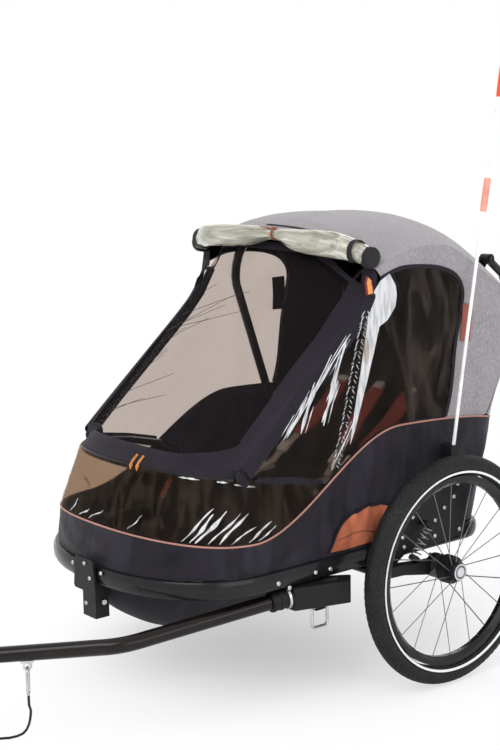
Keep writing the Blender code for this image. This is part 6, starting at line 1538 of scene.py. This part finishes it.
# Fine creases pulled into the net from its far edge
bm = bmesh.new()
for k in range(13):
    foot = 0.03 + 0.045 * k
    run = 0.150 + 0.170 * seeded.random()
    rise = 0.20 + 0.17 * seeded.random()
    line = [net_point(-0.252 + run * q / 10, min(0.97, foot + rise * (q / 10) ** 0.9), 0.0010)
            for q in range(11)]
    tube(bm, line, [flat_section(0.0012 * (1 - 0.80 * q / 10), 0.0003) for q in range(11)], up=(0.5, 0, 0.8))
folds(finished("net_creases", bm, "border_cloth"))


# Painted reflections: whitish ridges and streaks laid on the clear film where its creases catch the lamps'
# glare
def streak(bm, points, half, up, wander=0.0):
    """A leaf-shaped ridge along a smooth line through points."""
    count = 16
    ridge = []
    for k in range(count + 1):
        t = k / count
        leaf = math.sin(math.pi * min(1.0, 0.04 + 0.92 * t)) ** 0.8
        w = max(0.0002, half * leaf * (1 + 0.35 * math.sin(13 * t + wander)))
        ridge.append([(w, -0.0003), (w * 0.5, 0.0006), (-w * 0.5, 0.0006), (-w, -0.0003)])
    tube(bm, curved_line(points, count), ridge, up=up)


# A painted glare patch at the near window's top, and painted glare streaks below and beside it
KITE = ((0.0907, 0.8874), (0.0717, 0.8628), (0.0669, 0.8434), (0.0716, 0.8165), (0.0962, 0.7902),
        (0.1187, 0.7789), (0.1337, 0.7274), (0.1524, 0.6683), (0.1711, 0.6160), (0.1888, 0.5671),
        (0.2027, 0.5404), (0.1951, 0.5852), (0.1820, 0.6448), (0.1699, 0.6977), (0.1596, 0.7507),
        (0.1521, 0.7870), (0.1484, 0.8170), (0.1373, 0.8482), (0.1150, 0.8745))
FOLD_LINE = ((0.1558, 0.811), (0.1724, 0.7588), (0.1956, 0.6737), (0.2189, 0.5818), (0.2466, 0.4939))
STREAKS = (((0.2015, 0.7720), (0.3206, 0.6365), 0.0026), ((0.2134, 0.7565), (0.2771, 0.5903), 0.0044),
           ((0.2538, 0.7344), (0.3772, 0.5784), 0.0022), ((0.2363, 0.6788), (0.2815, 0.5976), 0.0040),
           ((0.2895, 0.6855), (0.3385, 0.5826), 0.0046), ((0.3203, 0.6563), (0.3858, 0.5764), 0.0034),
           ((0.1900, 0.5900), (0.2500, 0.5040), 0.0018))
STREAK_Y = PANEL_Y + 0.0014
bm = bmesh.new()
kite_verts, kite_faces = spread_panel(list(KITE), 0.006)
made = [bm.verts.new(V(p.x, STREAK_Y + 0.0012 * math.sin(70 * p.x + 9 * p.y), p.y)) for p in kite_verts]
for face in kite_faces:
    bm.faces.new([made[i] for i in face])
thickened(bm, 0.0007, (0, 0, 0.65))
for k, ((x0, z0), (x1, z1), half) in enumerate(STREAKS):
    start, end = V(x0, STREAK_Y, z0), V(x1, STREAK_Y, z1)
    middle = V((x0 + x1) / 2 + 0.004 * math.sin(2.1 * k), STREAK_Y + 0.0004,
               (z0 + z1) / 2 + 0.003 * math.cos(1.7 * k))
    streak(bm, [start, middle, end], half, (0, 1, 0), k)
    for extra in (-1, 1):
        shift = V(extra * (half + 0.0030), 0, extra * 0.004)
        first, last = (0.05, 0.55) if (k + extra) % 3 else (0.45, 0.95)
        streak(bm, [start.lerp(end, first) + shift, start.lerp(end, last) + shift * 1.2], half * 0.28,
               (0, 1, 0), k + extra)
for k in range(36):
    x, z = through(FOLD_LINE, (k + 0.5) / 36)
    lean = 0.0055 + 0.003 * math.sin(2.6 * k)
    for way in (1, -1):
        centre_x = x + way * (0.0075 + 0.0015 * math.sin(1.9 * k))
        streak(bm, [V(centre_x - way * 0.0035, STREAK_Y, z + lean),
                    V(centre_x + way * 0.0035, STREAK_Y, z - lean * 0.4)], 0.0009, (0, 1, 0), k)
folds(finished("window_glare_streaks", bm, "crease"))
FOLD_EDGE = ((0.0841, 0.8869), (0.0700, 0.8690), (0.0620, 0.8520), (0.0574, 0.8412))
tube_piece("window_fold_edge", [V(x, STREAK_Y + 0.0012, z) for x, z in FOLD_EDGE],
           flat_section(0.0013, 0.0004), "border_cloth", (0, 1, 0))


def nose_point(along, level):
    """A point on the nose window: along its rows from left to right, and up from the piping."""
    spot = along * (len(film_rows) - 1)
    i = min(len(film_rows) - 2, int(spot))
    height = level * (len(film_rows[0]) - 1)
    j = min(len(film_rows[0]) - 2, int(height))
    low = film_rows[i][j].lerp(film_rows[i + 1][j], spot - i)
    high = film_rows[i][j + 1].lerp(film_rows[i + 1][j + 1], spot - i)
    p = low.lerp(high, height - j)
    return p + V(p.x - 0.3, p.y, 0).normalized() * 0.0012


# Painted reflections: whitish streaks laid down the nose window where its creases catch the lamps' glare
NOSE_STREAKS = (((0.262, 0.56), (0.320, 0.02), 0.0022), ((0.259, 0.48), (0.302, 0.02), 0.0030),
                ((0.232, 0.54), (0.290, 0.02), 0.0035), ((0.204, 0.50), (0.265, 0.02), 0.0020),
                ((0.189, 0.50), (0.244, 0.02), 0.0028), ((0.171, 0.27), (0.220, 0.02), 0.0018),
                ((0.140, 0.29), (0.183, 0.02), 0.0024), ((0.128, 0.16), (0.162, 0.02), 0.0016),
                ((0.555, 0.25), (0.570, 0.02), 0.0014), ((0.515, 0.17), (0.537, 0.02), 0.0016),
                ((0.491, 0.21), (0.512, 0.02), 0.0014), ((0.345, 0.97), (0.299, 0.97), 0.0020),
                ((0.262, 0.97), (0.238, 0.97), 0.0018), ((0.222, 0.95), (0.178, 0.93), 0.0020),
                ((0.405, 0.30), (0.430, 0.05), 0.0012), ((0.700, 0.45), (0.735, 0.05), 0.0022),
                ((0.660, 0.35), (0.690, 0.04), 0.0018), ((0.800, 0.30), (0.830, 0.04), 0.0018))
bm = bmesh.new()
for k, (start, end, half) in enumerate(NOSE_STREAKS):
    line = [nose_point(start[0] + (end[0] - start[0]) * q / 6 + 0.002 * math.sin(q + k),
                       start[1] + (end[1] - start[1]) * q / 6) for q in range(7)]
    middle = line[3]
    streak(bm, line, half, (middle.x - 0.3, middle.y, 0.0), k)
finished("nose_glare_streaks", bm, "crease")

# Silver band where the drawbar enters its receiver
RECEIVER_MOUTH = V(0.381, 0.297, 0.250)
BAR_BEND = V(0.740, 0.2213, 0.2122)
BAR_AXIS = (BAR_BEND - RECEIVER_MOUTH).normalized()
band_centre = RECEIVER_MOUTH + BAR_AXIS * 0.0045
tube_piece("receiver_band", [band_centre + BAR_AXIS * along for along in (-0.0030, -0.0026, 0.0026, 0.0030)],
           [circle(radius, 40) for radius in (0.0232, 0.0240, 0.0240, 0.0232)], "steel", fold=False)

# Floor, backdrop, lamps
floor_look = Shade("studio_floor", (0.92, 0.92, 0.925), 0.9).set(Specular_IOR_Level=0.1)
floor_look.colour(floor_look.ramp(floor_look.noise(0.8, 2), (0.3, (0.915, 0.915, 0.92)),
                                  (0.7, (0.93, 0.93, 0.935))))
FLOOR_NEAR = 0.35
FLOOR_FAR = 1.15
FLOOR_WHITE = 0.35
SHADOW_CENTRE = (-0.456, -0.300, 0)


def seen_straight(tree):
    """1 for what the camera sees by itself or through clear film."""
    ray = add(tree, "LightPath")
    return maths(tree, "MAXIMUM", ray.outputs["Is Camera Ray"], ray.outputs["Is Transmission Ray"])


def mixed_to(tree, output, share, a, b):
    """Mixes two shaders into the tree's output node."""
    mixer = fill(tree, tree.nodes.new("ShaderNodeMixShader"), {0: share, 1: a.outputs[0], 2: b.outputs[0]})
    tree.links.new(mixer.outputs[0], tree.nodes[output].inputs["Surface"])


floor_tree = floor_look.tree
away = floor_tree.nodes.new("ShaderNodeVectorMath")
away.operation = "DISTANCE"
fill(floor_tree, away, {0: floor_look.place, 1: SHADOW_CENTRE})
fade = add(floor_tree, "MapRange", Value=away.outputs["Value"], From_Min=FLOOR_NEAR, From_Max=FLOOR_FAR,
           To_Min=FLOOR_WHITE)
fade.interpolation_type = "SMOOTHSTEP"
whitening = maths(floor_tree, "MULTIPLY", seen_straight(floor_tree), fade.outputs[0])
glow = add(floor_tree, "Emission", Color=WHITE)
mixed_to(floor_tree, "Material Output", whitening, floor_look.shader, glow)
bm = bmesh.new()
bmesh.ops.create_grid(bm, x_segments=2, y_segments=2, size=30)
floor = placed("floor", mesh_from("floor", bm))
floor.data.materials.append(floor_look.material)

# The sky is a shade brighter overhead, as over a photographer's table
SKY_LOW = 0.96
SKY_HIGH = 1.0
world = bpy.data.worlds.new("studio")
bpy.context.scene.world = world
world.use_nodes = True
sky = world.node_tree
sky_height = add(sky, "SeparateXYZ", Vector=add(sky, "TexCoord").outputs["Generated"]).outputs["Z"]
sky_grade = add(sky, "MapRange", Value=sky_height, From_Min=-1, From_Max=1, To_Min=SKY_LOW, To_Max=SKY_HIGH)
backdrop = fill(sky, sky.nodes["Background"], {"Color": WHITE, "Strength": sky_grade.outputs["Result"]})
mixed_to(sky, "World Output", seen_straight(sky), backdrop, add(sky, "Background", Color=WHITE, Strength=1.0))


def lamp(name, place, target, size, power):
    data = bpy.data.lights.new(name, "AREA")
    data.shape = "RECTANGLE"
    data.size, data.size_y = size
    data.energy = power
    made = placed(name, data)
    made.location = place
    made.rotation_euler = (Vector(target) - Vector(place)).to_track_quat("-Z", "Y").to_euler()


lamp("key", (2.6, 1.2, 3.4), (0, 0, 0.4), (2.4, 2.0), 60)
lamp("fill", (0.2, 3.8, 1.8), (-0.2, 0, 0.5), (2.6, 1.6), 25)
lamp("rim", (-3.2, -1.4, 2.6), (-0.2, 0, 0.6), (2.0, 2.0), 30)
